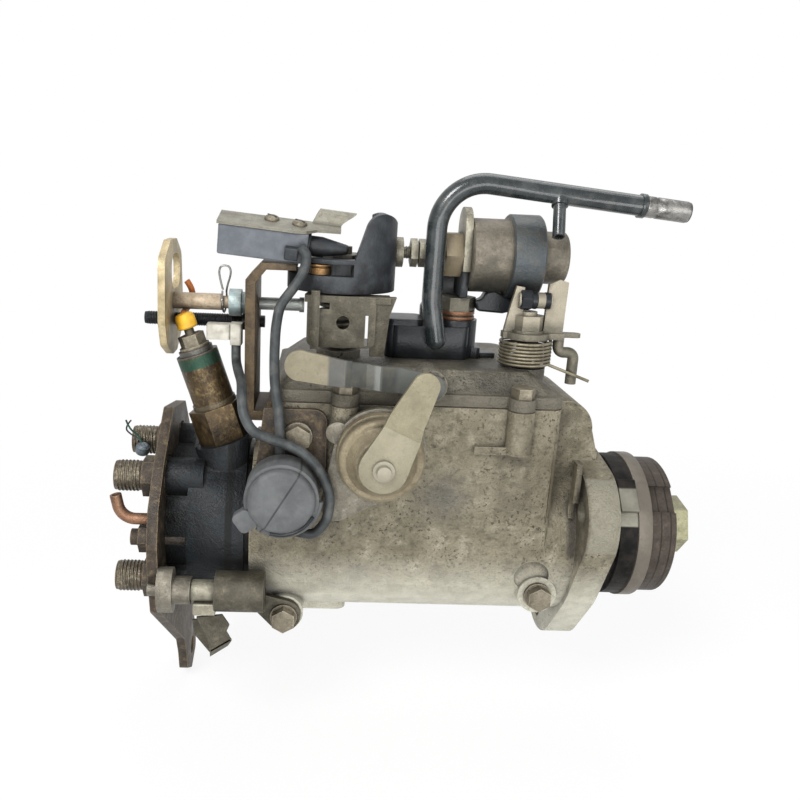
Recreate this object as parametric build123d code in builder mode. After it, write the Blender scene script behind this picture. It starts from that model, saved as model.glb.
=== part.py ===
"""Rotary diesel injection pump: housing, drive line, governor, advance unit and controls.

Row frame: +X runs along the drive shaft towards the drive hub, +Z is up and -Y is the
control side. The origin is the centre of the mounting flange's front face.
All lengths are millimetres.
"""
from build123d import *
from math import cos, sin, tan, radians, sqrt
import os

os.makedirs("parts", exist_ok=True)

# ---------------------------------------------------------------- driving dimensions
running_clearance = 0.05     # radial gap of a shaft in its bush
slip_clearance = 0.3         # gap between moving faces that are not a fit

flange_thickness = 12.5
flange_ear_circle = 31.7     # radius on which the three ears are centred
flange_ear_radius = 21.9
flange_web_radius = 40.5
flange_hole_circle = 45.0    # radius of the mounting holes
flange_hole_radius = 4.25
flange_hole_count = 3
flange_first_ear = 33.0      # degrees from +Y towards +Z
pilot_radius = 34.0
pilot_length = 4.0

body_radius = 38.2
body_length = 132.0          # from the back of the flange to the head joint
bore_radius = 30.0           # cam and governor chamber
bore_front_wall = 17.0       # chamber's front end behind the flange face
gasket_height = 62.0         # cover joint above the shaft axis
box_half_width = 40.0
box_front = -24.0
box_rear = -136.0
box_wall = 6.0

cover_gasket_thickness = 0.6
cover_flange_thickness = 4.4
cover_rise = 7.6             # sloping part above the cover's flange
cover_wall = 4.0
cover_bolt_radius = 3.0

shaft_radius = 10.0
shaft_rear = -62.0
bush_radius = 13.0
seal_length = 5.0

head_radius = 35.5
head_rear = -170.0
head_spigot_front = -110.0
rotor_radius = 8.0
union_circle = 31.0
union_thread_radius = 6.0
union_angles = (131, 221, 311, 65)   # degrees from +Y towards +Z
bracket_rear = -183.5
bracket_thickness = 4.2

advance_x = -95.0
advance_height = 46.0
advance_bore_radius = 12.0
advance_boss_radius = 16.4

throttle_axis = (-111.0, -10.0)
throttle_shaft_radius = 4.0
quadrant_radius = 21.5
quadrant_bottom = 102.5

idle_axis = (-36.0, -18.0)
idle_shaft_radius = 3.5
idle_coil_radius = 9.9
idle_wire_radius = 0.62
idle_coil_turns = 7

dashpot_y = -3.0
dashpot_height = 117.0

hub_rear = 8.5
hub_disc_rear = 16.1
hub_disc_thickness = 5.9
hub_disc_radius = 32.0
hub_front_radius = 29.9
hub_front_length = 11.3
hub_nut_thickness = 13.4
hub_nut_across_flats = 22.0

bracket_bolt_radius = 3.4
bracket_bolt_places = ((-27.0, -1.0), (26.0, 2.0))   # Y, Z
stay_place = (-45.0, -15.0)  # Y, Z of the stay bolt
stay_radius = 2.6
lug_screw_radius = 3.0

stop_x = -76.5
stop_height = 71.0
stop_boss_face = 44.0        # distance of the boss's face from the shaft plane
stop_shaft_radius = 3.0
stop_shaft_depth = 18.0

solenoid_foot = (-156.5, -10.0, 38.0)
solenoid_lean = 19.0         # degrees towards the rear

# ---------------------------------------------------------------- derived places
body_front = -flange_thickness
body_rear = body_front - body_length
hub_front = hub_disc_rear + hub_disc_thickness + hub_front_length
cover_base = gasket_height + cover_gasket_thickness
cover_shelf = cover_base + cover_flange_thickness
cover_top = cover_shelf + cover_rise
bracket_front = bracket_rear + bracket_thickness
near_wall = -box_half_width
cover_bolt_places = ((-41, near_wall - 1), (-108.5, near_wall - 1),
                     (-41, -near_wall + 1), (-80, -near_wall + 1), (-122, -near_wall + 1))
cover_boss_radius = 5.2
cover_bolt_reach = 7.5
sheet_thickness = 2.0
# X, distance from the shaft plane and Z of the seats of the three screws on the control side
housing_screw_places = ((-130, 35.5, -31), (-25.5, 36.5, -18), (-126, box_half_width + sheet_thickness, 49.5))
housing_screw_reach = 6.0
arm_pivot = (-70.0, 40.0)    # X, Z of the governor arm's pivot
arm_pivot_radius = 2.6
metering_place = (-116.0, 14.0)
metering_radius = 3.2
metering_bottom = 36.0
solenoid_plane = Plane(origin=solenoid_foot,
                       x_dir=(cos(radians(solenoid_lean)), 0, sin(radians(solenoid_lean))),
                       z_dir=(-sin(radians(solenoid_lean)), 0, cos(radians(solenoid_lean))))

pieces = []


def keep(builder, name):
    """Label a finished piece and put it on the list that is written at the end."""
    builder.part.label = name
    pieces.append(builder.part)


def hexagon(across_flats):
    """Circumscribed radius of a hexagon with the given width across flats."""
    return across_flats / sqrt(3)


# ================================================================ casings
# ---------------------------------------------------------------- pump housing
with BuildPart() as governor_box:
    # the box's cross-section, run along the shaft and trimmed to a plan with round corners
    with BuildSketch(Plane.YZ.offset(box_rear)):
        with BuildLine():
            Polyline((-body_radius, 0), (near_wall, 26), (near_wall, gasket_height),
                     (-near_wall, gasket_height), (-near_wall, 26), (body_radius, 0), close=True)
        make_face()
    extrude(amount=box_front - box_rear)
    with BuildSketch(Plane.XY):
        with Locations(((box_front + box_rear) / 2, 0)):
            RectangleRounded(box_front - box_rear, 2 * box_half_width, 5)
    extrude(amount=gasket_height, mode=Mode.INTERSECT)

with BuildPart() as housing:
    with BuildSketch(Plane.YZ.offset(body_rear)):
        Circle(body_radius)
    extrude(amount=body_length)
    add(governor_box)
    # three-eared mounting flange
    with BuildSketch(Plane.YZ.offset(-flange_thickness)):
        with PolarLocations(flange_ear_circle, flange_hole_count, start_angle=flange_first_ear):
            Circle(flange_ear_radius)
        Circle(flange_web_radius)
        make_hull()
    extrude(amount=flange_thickness)
    # rounded shoulder between the box and the flange
    with BuildSketch(Plane.XZ):
        with BuildLine():
            Line((-3.5, 20), (box_front - 3, 20))
            Line((box_front - 3, 20), (box_front - 3, gasket_height))
            Line((box_front - 3, gasket_height), (-16, gasket_height))
            ThreePointArc((-16, gasket_height), (-9.5, 58), (-6.5, 50))
            Line((-6.5, 50), (-3.5, 40))
            Line((-3.5, 40), (-3.5, 20))
        make_face()
    extrude(amount=24, both=True)
    # pilot spigot
    with BuildSketch(Plane.YZ):
        Circle(pilot_radius)
    extrude(amount=pilot_length)
    # thin rib behind the flange on the control side
    with BuildSketch(Plane.XY.offset(17)):
        with Locations((-flange_thickness - 3, near_wall + 2)):
            Rectangle(2.2, 5)
    extrude(amount=24)
    # screw bosses under the cover joint
    for place in cover_bolt_places:
        with BuildSketch(Plane.XY.offset(gasket_height - 17)):
            with Locations(place):
                Circle(cover_boss_radius)
        extrude(amount=17)
    # ledge behind the front boss
    with BuildSketch(Plane.XZ.offset(box_half_width - 2)):
        with Locations((-50, gasket_height - 16)):
            Rectangle(16, 3)
    extrude(amount=4.5)
    # transverse advance barrel
    with BuildSketch(Plane.XZ.offset(box_half_width - 6)):
        with Locations((advance_x, advance_height)):
            Circle(advance_boss_radius - 0.6)
    extrude(amount=14)
    # lug for the stay bolt and the filler boss, both on the control side
    with BuildSketch(Plane.XZ.offset(18)):
        with Locations((-130, -31)):
            Circle(8)
    extrude(amount=15)
    # with a round hollow beside the filler boss
    with BuildSketch(Plane.XZ.offset(body_radius - 3.5)):
        with Locations((-28.8, -9.5)):
            Circle(7.2)
    extrude(amount=12, mode=Mode.SUBTRACT)
    with BuildSketch(Plane.XZ.offset(26)):
        with Locations((-25.5, -18)):
            Circle(8)
    extrude(amount=10.5)
    # flat pad under the barrel
    with BuildSketch(Plane.XY.offset(-body_radius - 1.8)):
        with Locations((-114.5, 0)):
            RectangleRounded(22, 26, 4)
    extrude(amount=6)
    # main bore, neck bore and counterbore for the seal
    with BuildSketch(Plane.YZ.offset(body_rear)):
        Circle(bore_radius)
    extrude(amount=-bore_front_wall - body_rear, mode=Mode.SUBTRACT)
    with BuildSketch(Plane.YZ.offset(-bore_front_wall)):
        Circle(shaft_radius + running_clearance)
    extrude(amount=bore_front_wall + pilot_length, mode=Mode.SUBTRACT)
    with BuildSketch(Plane.YZ.offset(pilot_length)):
        Circle(bush_radius)
    extrude(amount=-seal_length, mode=Mode.SUBTRACT)
    # governor chamber, open at the joint and into the main bore
    with BuildSketch(Plane.XY.offset(12)):
        with Locations(((box_front + advance_x + advance_boss_radius) / 2 - 1, 0)):
            RectangleRounded(box_front - advance_x - advance_boss_radius - 2 * box_wall + 2,
                             2 * (box_half_width - box_wall), 5)
    extrude(amount=gasket_height, mode=Mode.SUBTRACT)
    # advance bore and the hole for the cam ring's peg
    with BuildSketch(Plane.XZ.offset(box_half_width + 9)):
        with Locations((advance_x, advance_height)):
            Circle(advance_bore_radius)
    extrude(amount=-(2 * box_half_width + 2), mode=Mode.SUBTRACT)
    with BuildSketch(Plane.XY.offset(20)):
        with Locations((advance_x, 0)):
            Circle(6.5)
    extrude(amount=advance_height - 20, mode=Mode.SUBTRACT)
    # mounting holes
    with BuildSketch(Plane.YZ):
        with PolarLocations(flange_hole_circle, flange_hole_count, start_angle=flange_first_ear):
            Circle(flange_hole_radius)
    extrude(amount=-flange_thickness - 9, mode=Mode.SUBTRACT)
    # tapped holes for the cover bolts
    for place in cover_bolt_places:
        with BuildSketch(Plane.XY.offset(gasket_height)):
            with Locations(place):
                Circle(cover_bolt_radius)
        extrude(amount=-cover_bolt_reach - 1, mode=Mode.SUBTRACT)
    # tapped holes for the screws on the control side
    for place in housing_screw_places:
        with BuildSketch(Plane.XZ.offset(place[1])):
            with Locations((place[0], place[2])):
                Circle(lug_screw_radius)
        extrude(amount=-housing_screw_reach, mode=Mode.SUBTRACT)
    # bore of the governor arm's pivot pin, open on the far side
    with BuildSketch(Plane.XZ.offset(box_half_width - 3)):
        with Locations(arm_pivot):
            Circle(arm_pivot_radius + running_clearance)
    extrude(amount=-2 * box_half_width, mode=Mode.SUBTRACT)
    # bore of the metering valve
    with BuildSketch(Plane.XY.offset(metering_bottom - 1)):
        with Locations(metering_place):
            Circle(metering_radius + running_clearance)
    extrude(amount=gasket_height, mode=Mode.SUBTRACT)
keep(housing, "pump_housing")


# ---------------------------------------------------------------- governor cover
cover_centre_x = (box_front + box_rear) / 2
cover_length = box_front - box_rear
with BuildPart() as cover:
    with BuildSketch(Plane.XY.offset(cover_base)):
        with Locations((cover_centre_x, 0)):
            RectangleRounded(cover_length, 2 * box_half_width, 5)
        with Locations(*cover_bolt_places):
            Circle(cover_boss_radius)
    extrude(amount=cover_flange_thickness)
    # crown with sloping sides
    with BuildSketch(Plane.XY.offset(cover_shelf)):
        with Locations((cover_centre_x, 0)):
            RectangleRounded(cover_length - 2, 2 * box_half_width - 5, 5)
    with BuildSketch(Plane.XY.offset(cover_top)):
        with Locations((cover_centre_x - 1, 0)):
            RectangleRounded(cover_length - 22, 2 * box_half_width - 19, 5)
    loft()
    # hollow crown over the governor
    with BuildSketch(Plane.XY.offset(cover_base)):
        with Locations((cover_centre_x, 0)):
            RectangleRounded(cover_length - 26, 2 * box_half_width - 28, 5)
    extrude(amount=cover_top - cover_base - cover_wall, mode=Mode.SUBTRACT)
    # bosses for the throttle, idle and stop shafts
    with BuildSketch(Plane.XY.offset(cover_top - cover_wall)):
        with Locations(throttle_axis):
            Circle(9)
    extrude(amount=cover_wall + 3.5)
    with BuildSketch(Plane.XY.offset(cover_shelf - 1)):
        with Locations(idle_axis):
            Circle(8.6)
    extrude(amount=cover_top - cover_shelf + 1.2)
    with BuildSketch(Plane.XZ.offset(28)):
        with Locations((stop_x, stop_height)):
            Circle(6)
    extrude(amount=stop_boss_face - 28)
    # shaft bores
    with BuildSketch(Plane.XY.offset(cover_base)):
        with Locations(throttle_axis):
            Circle(throttle_shaft_radius + running_clearance)
        with Locations(idle_axis):
            Circle(idle_shaft_radius + running_clearance)
    extrude(amount=cover_rise + 10, mode=Mode.SUBTRACT)
    with BuildSketch(Plane.XZ.offset(stop_boss_face)):
        with Locations((stop_x, stop_height)):
            Circle(stop_shaft_radius + running_clearance)
    extrude(amount=-stop_shaft_depth, mode=Mode.SUBTRACT)
    # bolt holes
    with BuildSketch(Plane.XY.offset(cover_base)):
        with Locations(*cover_bolt_places):
            Circle(cover_bolt_radius)
    extrude(amount=cover_flange_thickness, mode=Mode.SUBTRACT)
    with BuildSketch(Plane.XY.offset(cover_shelf)):
        with Locations(*cover_bolt_places):
            Circle(cover_boss_radius)
    extrude(amount=cover_rise + 1, mode=Mode.SUBTRACT)
keep(cover, "governor_cover")

# ---------------------------------------------------------------- cover gasket
with BuildPart() as gasket:
    with BuildSketch(Plane.XY.offset(gasket_height)):
        with Locations((cover_centre_x, 0)):
            RectangleRounded(cover_length, 2 * box_half_width, 5)
        with Locations(*cover_bolt_places):
            Circle(cover_boss_radius)
        with Locations((cover_centre_x, 0)):
            RectangleRounded(cover_length - 26, 2 * box_half_width - 28, 5, mode=Mode.SUBTRACT)
        with Locations(*cover_bolt_places):
            Circle(cover_bolt_radius, mode=Mode.SUBTRACT)
    extrude(amount=cover_gasket_thickness)
keep(gasket, "cover_gasket")

# ---------------------------------------------------------------- cover bolts
bolt_head_height = 4.2
with BuildPart() as cover_bolts:
    with BuildSketch(Plane.XY.offset(gasket_height - cover_bolt_reach)):
        with Locations(*cover_bolt_places):
            Circle(cover_bolt_radius)
    extrude(amount=cover_bolt_reach + cover_shelf - gasket_height)
    with BuildSketch(Plane.XY.offset(cover_shelf)):
        with Locations(*cover_bolt_places):
            RegularPolygon(hexagon(8), 6)
    extrude(amount=bolt_head_height)
keep(cover_bolts, "cover_bolts")

# ---------------------------------------------------------------- hydraulic head
union_boss_radius = 8.0
head_stage_radius = 30.0
head_stage_rear = bracket_front
groove_width = 2.4
with BuildPart() as solenoid_seat:
    # upright pad, cut off square to the leaning solenoid
    with BuildSketch(Plane.XY.offset(25)):
        with Locations(solenoid_foot[:2]):
            Circle(13)
        with Locations((body_rear - groove_width, solenoid_foot[1])):
            Rectangle(30, 30, align=(Align.MIN, Align.CENTER), mode=Mode.SUBTRACT)
    extrude(amount=25)
    with BuildSketch(solenoid_plane):
        Rectangle(60, 60)
    extrude(amount=40, mode=Mode.SUBTRACT)

with BuildPart() as head:
    with BuildSketch(Plane.YZ.offset(head_rear)):
        Circle(head_radius)
    extrude(amount=body_rear - groove_width - head_rear)
    with BuildSketch(Plane.YZ.offset(body_rear - groove_width)):
        Circle(head_radius - 2.5)
    extrude(amount=groove_width)
    with BuildSketch(Plane.YZ.offset(body_rear)):
        Circle(bore_radius - running_clearance)
    extrude(amount=head_spigot_front - body_rear)
    with BuildSketch(Plane.YZ.offset(head_stage_rear)):
        Circle(head_stage_radius)
    extrude(amount=head_rear - head_stage_rear)
    # outlet bosses
    for angle in union_angles:
        centre = (union_circle * cos(radians(angle)), union_circle * sin(radians(angle)))
        with BuildSketch(Plane.YZ.offset(head_stage_rear)):
            with Locations(centre):
                Circle(union_boss_radius)
        extrude(amount=head_rear - head_stage_rear + 6)
    # bore of the distributor rotor
    with BuildSketch(Plane.YZ.offset(head_spigot_front)):
        Circle(rotor_radius + running_clearance)
    extrude(amount=head_rear - head_spigot_front + 4, mode=Mode.SUBTRACT)
    # outlet bores behind the unions
    for angle in union_angles:
        centre = (union_circle * cos(radians(angle)), union_circle * sin(radians(angle)))
        with BuildSketch(Plane.YZ.offset(head_stage_rear)):
            with Locations(centre):
                Circle(4.5)
        extrude(amount=6, mode=Mode.SUBTRACT)
    add(solenoid_seat)
    with BuildSketch(solenoid_plane):
        Circle(12.5)
    extrude(amount=6, mode=Mode.SUBTRACT)
    # tapped bores for the bracket bolts
    with BuildSketch(Plane.YZ.offset(head_stage_rear)):
        with Locations(*bracket_bolt_places):
            Circle(bracket_bolt_radius)
    extrude(amount=8, mode=Mode.SUBTRACT)
keep(head, "hydraulic_head")

# ---------------------------------------------------------------- delivery unions
union_hex_length = 5.5
union_thread_length = 11.5
union_shank_radius = 4.5
union_bore_radius = 1.6
with BuildPart() as unions:
    for angle in union_angles:
        centre = (union_circle * cos(radians(angle)), union_circle * sin(radians(angle)))
        with BuildSketch(Plane.YZ.offset(head_stage_rear + 6)):
            with Locations(centre):
                Circle(union_shank_radius)
        extrude(amount=-6)
        with BuildSketch(Plane.YZ.offset(head_stage_rear)):
            with Locations(centre):
                RegularPolygon(hexagon(15), 6)
        extrude(amount=-bracket_thickness - union_hex_length)
        with BuildSketch(Plane.YZ.offset(bracket_rear - union_hex_length)):
            with Locations(centre):
                Circle(union_thread_radius)
        extrude(amount=-union_thread_length)
        with BuildSketch(Plane.YZ.offset(bracket_rear - union_hex_length - union_thread_length)):
            with Locations(centre):
                Circle(union_bore_radius)
        extrude(amount=union_thread_length + union_hex_length, mode=Mode.SUBTRACT)
        # inner cone that the pipe's olive seats in
        with BuildSketch(Plane.YZ.offset(bracket_rear - union_hex_length - union_thread_length)):
            with Locations(centre):
                Circle(union_thread_radius - 2)
        extrude(amount=2.5, taper=40, mode=Mode.SUBTRACT)
keep(unions, "delivery_unions")

# ================================================================ rear bracket and stay
# ---------------------------------------------------------------- rear bracket
lug_hole_radius = 4.5
lug_hole_place = (37.0, -91.0)
with BuildPart() as bracket:
    with BuildSketch(Plane.YZ.offset(bracket_rear)) as bracket_outline:
        with BuildLine():
            Polyline((-6, 49), (-30, 31), (-42.5, 17), (-46.5, 4), (-46, -8), (-42, -27),
                     (14, -74), (19, -84), (22, -95), (35, -103), (49, -98), (47, -85), (40, -70),
                     (46, -24), (46, 17), (24, 44), close=True)
        make_face()
        fillet(bracket_outline.vertices(), 3.5)
    extrude(amount=bracket_thickness)
    # clearance for the unions, the bolts, the stay and the foot hole
    with BuildSketch(Plane.YZ.offset(bracket_rear)):
        for angle in union_angles:
            with Locations((union_circle * cos(radians(angle)), union_circle * sin(radians(angle)))):
                Circle(hexagon(15) + 0.6)
        with Locations(*bracket_bolt_places):
            Circle(bracket_bolt_radius)
        with Locations(stay_place):
            Circle(stay_radius)
        with Locations(lug_hole_place):
            Circle(lug_hole_radius)
    extrude(amount=bracket_thickness, mode=Mode.SUBTRACT)
keep(bracket, "rear_bracket")

# ---------------------------------------------------------------- bracket bolts
with BuildPart() as bracket_bolts:
    with BuildSketch(Plane.YZ.offset(bracket_rear)):
        with Locations(*bracket_bolt_places):
            Circle(bracket_bolt_radius)
    extrude(amount=bracket_thickness + 8)
    with BuildSketch(Plane.YZ.offset(bracket_rear)):
        with Locations(*bracket_bolt_places):
            RegularPolygon(hexagon(11), 6)
    extrude(amount=-6.5)
    with BuildSketch(Plane.YZ.offset(bracket_rear - 6.5)):
        with Locations(*bracket_bolt_places):
            Circle(bracket_bolt_radius)
    extrude(amount=-3.5)
keep(bracket_bolts, "bracket_bolts")

# ---------------------------------------------------------------- stay bolt and its sleeves
stay_x_front = -137.5
with BuildPart() as stay_bolt:
    with BuildSketch(Plane.YZ.offset(bracket_rear)):
        with Locations(stay_place):
            Circle(stay_radius)
    extrude(amount=stay_x_front - bracket_rear)
    with BuildSketch(Plane.YZ.offset(bracket_front)):
        with Locations(stay_place):
            Ellipse(6.5, 9.5)
    extrude(amount=6)
    with BuildSketch(Plane.YZ.offset(bracket_front + 6)):
        with Locations(stay_place):
            Circle(5.5)
    extrude(amount=7)
keep(stay_bolt, "stay_bolt")

with BuildPart() as stay_spacer:
    with BuildSketch(Plane.YZ.offset(bracket_front + 13)):
        with Locations(stay_place):
            Circle(4.4)
            Circle(stay_radius, mode=Mode.SUBTRACT)
    extrude(amount=9.5)
keep(stay_spacer, "stay_spacer")

stay_sleeve_rear = bracket_front + 13 + 9.5
with BuildPart() as stay_sleeve:
    with BuildSketch(Plane.YZ.offset(stay_sleeve_rear)):
        with Locations(stay_place):
            Circle(8)
            Circle(stay_radius, mode=Mode.SUBTRACT)
    extrude(amount=stay_x_front - stay_sleeve_rear)
    # strap that reaches the housing's lug
    with BuildSketch(Plane.XZ.offset(33)):
        with Locations((-130, -31)):
            Circle(7)
        with Locations((-141, -24.5)):
            Circle(3.5)
        make_hull()
        with Locations((-130, -31)):
            Circle(lug_screw_radius, mode=Mode.SUBTRACT)
    extrude(amount=2.5)
    with BuildSketch(Plane.XZ.offset(33)):
        with Locations((-141, -23)):
            Rectangle(7, 6)
    extrude(amount=8)
keep(stay_sleeve, "stay_sleeve")

# ---------------------------------------------------------------- sheet clip under the stay
clip_thickness = 1.2
with BuildPart() as stay_clip:
    with BuildSketch(Plane.YZ.offset(-166.2)):
        with BuildLine():
            Polyline((stay_place[0] - 1, stay_place[1] - 4.4), (stay_place[0] - 3, stay_place[1] - 13),
                     (stay_place[0] + 2, stay_place[1] - 24), (stay_place[0] + 12, stay_place[1] - 20))
            offset(amount=clip_thickness, side=Side.LEFT)
        make_face()
    extrude(amount=9.2)
keep(stay_clip, "stay_clip")

# ---------------------------------------------------------------- housing screws
with BuildPart() as housing_screws:
    for place in housing_screw_places:
        screw_plane = Plane(origin=(place[0], -place[1], place[2]), z_dir=(0, -1, 0))
        with BuildSketch(screw_plane):
            Circle(5.6)
        extrude(amount=1.2)
        with BuildSketch(screw_plane.offset(1.2)):
            RegularPolygon(hexagon(9), 6)
        extrude(amount=3.8)
        with BuildSketch(screw_plane):
            Circle(lug_screw_radius)
        extrude(amount=-housing_screw_reach)
keep(housing_screws, "housing_screws")


# ================================================================ stop solenoid
solenoid_can_radius = 8.6
solenoid_plunger_radius = 4.0
with BuildPart() as solenoid:
    with BuildSketch(solenoid_plane):
        RegularPolygon(hexagon(20), 6, rotation=15)
    extrude(amount=15)
    with BuildSketch(solenoid_plane.offset(15)):
        Circle(solenoid_can_radius + 0.5)
    extrude(amount=2)
    with BuildSketch(solenoid_plane.offset(17)):
        Circle(solenoid_can_radius)
    extrude(amount=21)
    with BuildSketch(solenoid_plane.offset(38)):
        Circle(solenoid_can_radius - 1.6)
    extrude(amount=2)
    # chamber of the plunger
    with BuildSketch(solenoid_plane.offset(3)):
        Circle(solenoid_plunger_radius + running_clearance)
    extrude(amount=22, mode=Mode.SUBTRACT)
keep(solenoid, "stop_solenoid")

solenoid_travel = 1.5
with BuildPart() as solenoid_plunger:
    with BuildSketch(solenoid_plane.offset(3 + slip_clearance)):
        Circle(solenoid_plunger_radius)
    extrude(amount=22 - solenoid_travel - 2 * slip_clearance)
    chamfer(solenoid_plunger.edges().group_by(Axis.Z)[0], 0.8)
keep(solenoid_plunger, "solenoid_plunger")

with BuildPart() as solenoid_terminal:
    with BuildSketch(solenoid_plane.offset(40)):
        Circle(6.2)
    extrude(amount=1.2)
    with BuildSketch(solenoid_plane.offset(41.2)):
        RegularPolygon(hexagon(9.5), 6)
    extrude(amount=4.6)
    with BuildSketch(solenoid_plane.offset(45.8)):
        Circle(2)
    extrude(amount=2.6)
keep(solenoid_terminal, "solenoid_terminal")

with BuildPart() as terminal_block:
    with BuildSketch(Plane.XY.offset(81)):
        with Locations((-159.2, -15)):
            RectangleRounded(9.4, 6.5, 1)
    extrude(amount=6)
    with BuildSketch(Plane.XY.offset(79)):
        with Locations((-152.2, -15)):
            RectangleRounded(4.6, 7, 1)
    extrude(amount=8.4)
keep(terminal_block, "terminal_block")

# ================================================================ cable bracket and its rods
cable_bracket_rear = -182.0
cable_bracket_thickness = 2.8
rod_place = (-2.0, 93.8)     # Y, Z of the ferrule rod
stud_place = (2.0, 85.6)     # Y, Z of the threaded stud
rod_radius = 3.4
rod_neck_radius = 2.6
stud_radius = 2.5
with BuildPart() as cable_bracket:
    with BuildSketch(Plane.YZ.offset(cable_bracket_rear)) as cable_bracket_outline:
        with BuildLine():
            Polyline((-23, 88), (-22, 101), (-21, 112), (-8, 118.5), (6, 118.5), (17, 112),
                     (19, 95), (18, 80), (4, 72), (-6, 72), (-19, 78), close=True)
        make_face()
        fillet(cable_bracket_outline.vertices(), 5)
        with Locations((3, 105.5)):
            RectangleRounded(19, 14, 6, mode=Mode.SUBTRACT)
        with Locations(rod_place):
            Circle(rod_neck_radius, mode=Mode.SUBTRACT)
        with Locations(stud_place):
            Circle(stud_radius, mode=Mode.SUBTRACT)
    extrude(amount=cable_bracket_thickness)
keep(cable_bracket, "cable_bracket")

switch_bracket_rear = -148.0
switch_bracket_thickness = 4.0
rod_tip = -125.6
clip_groove = (-159.6, -156.4)
with BuildPart() as cable_ferrule:
    with BuildSketch(Plane.YZ.offset(cable_bracket_rear - 1.5)):
        with Locations(rod_place):
            Circle(rod_neck_radius)
    extrude(amount=rod_tip - cable_bracket_rear + 1.5)
    with BuildSketch(Plane.YZ.offset(cable_bracket_rear + cable_bracket_thickness)):
        with Locations(rod_place):
            Circle(rod_radius)
    extrude(amount=clip_groove[0] - cable_bracket_rear - cable_bracket_thickness)
    with BuildSketch(Plane.YZ.offset(clip_groove[1])):
        with Locations(rod_place):
            Circle(5.6)
    extrude(amount=5)
    with BuildSketch(Plane.YZ.offset(clip_groove[1] + 5)):
        with Locations(rod_place):
            RegularPolygon(hexagon(8.4), 6)
    extrude(amount=switch_bracket_rear - clip_groove[1] - 5)
    with BuildSketch(Plane.YZ.offset(rod_tip - 2)):
        with Locations(rod_place):
            Circle(rod_neck_radius + 0.5)
    extrude(amount=2)
keep(cable_ferrule, "cable_ferrule")

with BuildPart() as threaded_stud:
    with BuildSketch(Plane.YZ.offset(-192)):
        with Locations(stud_place):
            Circle(stud_radius)
    extrude(amount=switch_bracket_rear + switch_bracket_thickness + 2 + 192)
    with BuildSketch(Plane.YZ.offset(switch_bracket_rear)):
        with Locations(stud_place):
            RegularPolygon(hexagon(7), 6)
    extrude(amount=-3.2)
keep(threaded_stud, "threaded_stud")

# ================================================================ switch and its bracket
switch_shelf_height = 110.0
switch_shelf_thickness = 2.6
switch_shelf_front = -128.5
with BuildPart() as switch_bracket:
    # bent strip seen from the control side
    with BuildSketch(Plane.XZ.offset(25)) as switch_bracket_profile:
        with BuildLine():
            Polyline((switch_bracket_rear, 50), (switch_bracket_rear, switch_shelf_height - 4),
                     (switch_bracket_rear + 6, switch_shelf_height + switch_shelf_thickness),
                     (switch_shelf_front, switch_shelf_height + switch_shelf_thickness),
                     (switch_shelf_front, switch_shelf_height),
                     (switch_bracket_rear + 8, switch_shelf_height),
                     (switch_bracket_rear + switch_bracket_thickness, switch_shelf_height - 5),
                     (switch_bracket_rear + switch_bracket_thickness, 54),
                     (box_rear - 3, 54), (box_rear - 3, 58), (box_rear, 58), (box_rear, 40),
                     (box_rear - 3, 40), (box_rear - 3, 50), close=True)
        make_face()
    extrude(amount=-31)
    with BuildSketch(Plane.YZ.offset(switch_bracket_rear)):
        with Locations(rod_place):
            Circle(rod_neck_radius)
        with Locations(stud_place):
            Circle(stud_radius)
    extrude(amount=switch_bracket_thickness, mode=Mode.SUBTRACT)
keep(switch_bracket, "switch_bracket")

switch_tilt = 5.0            # the switch slopes down towards its plunger
switch_plane = Plane(origin=(-143.5, -20, 121.2),
                     x_dir=(cos(radians(switch_tilt)), 0, -sin(radians(switch_tilt))),
                     z_dir=(0, -1, 0))
switch_length = 30.0
switch_height = 12.0
switch_depth = 12.0
button_radius = 3.8
button_length = 15.5
button_travel = 2.0
socket_depth = 6.0
nose_collar = 4.0
nose_plane = Plane(origin=switch_plane.from_local_coords(Vector(switch_length / 2 + nose_collar, 0, 0)),
                   x_dir=(0, 1, 0), z_dir=switch_plane.x_dir)
with BuildPart() as switch_body:
    with BuildSketch(switch_plane):
        RectangleRounded(switch_length, switch_height, 0.8)
    extrude(amount=switch_depth / 2, both=True)
    with BuildSketch(nose_plane):
        Circle(button_radius + 1.6)
    extrude(amount=-nose_collar)
    with BuildSketch(nose_plane):
        Circle(button_radius + running_clearance)
    extrude(amount=-socket_depth - button_travel, mode=Mode.SUBTRACT)
    # outlet of the lead on the control face
    with BuildSketch(switch_plane.offset(switch_depth / 2)):
        with Locations((switch_length / 2 - 3.5, -1)):
            RectangleRounded(6, 5.5, 1)
    extrude(amount=4.4)
keep(switch_body, "switch_body")

with BuildPart() as switch_button:
    with BuildSketch(nose_plane.offset(-socket_depth + slip_clearance)):
        Circle(button_radius)
    extrude(amount=socket_depth + 5)
    with BuildSketch(nose_plane.offset(5 + slip_clearance)):
        Circle(button_radius)
    extrude(amount=button_length - 5, taper=11)
    fillet(switch_button.faces().sort_by(Axis.X)[-1].edges(), 1.2)
keep(switch_button, "switch_button")

plate_thickness = 1.4
with BuildPart() as switch_plate:
    with BuildSketch(switch_plane.offset(-switch_depth / 2 - 3)):
        with Locations((9, switch_height / 2 + plate_thickness / 2)):
            Rectangle(48, plate_thickness)
    extrude(amount=switch_depth + 4.5)
    # tab bent up over the plunger
    with BuildSketch(switch_plane.offset(-switch_depth / 2 - 3)):
        with BuildLine():
            Polyline((21, switch_height / 2), (31, switch_height / 2), (36, 13), (22.5, 12.4), close=True)
        make_face()
    extrude(amount=plate_thickness)
    # screws through the switch
    with BuildSketch(Plane(origin=switch_plane.from_local_coords(Vector(4, switch_height / 2 + plate_thickness, 0)),
                           x_dir=(0, 1, 0), z_dir=switch_plane.y_dir)):
        with Locations((0, 0), (0, 10.5)):
            Circle(2.7)
    extrude(amount=1.8)
keep(switch_plate, "switch_plate")

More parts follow.
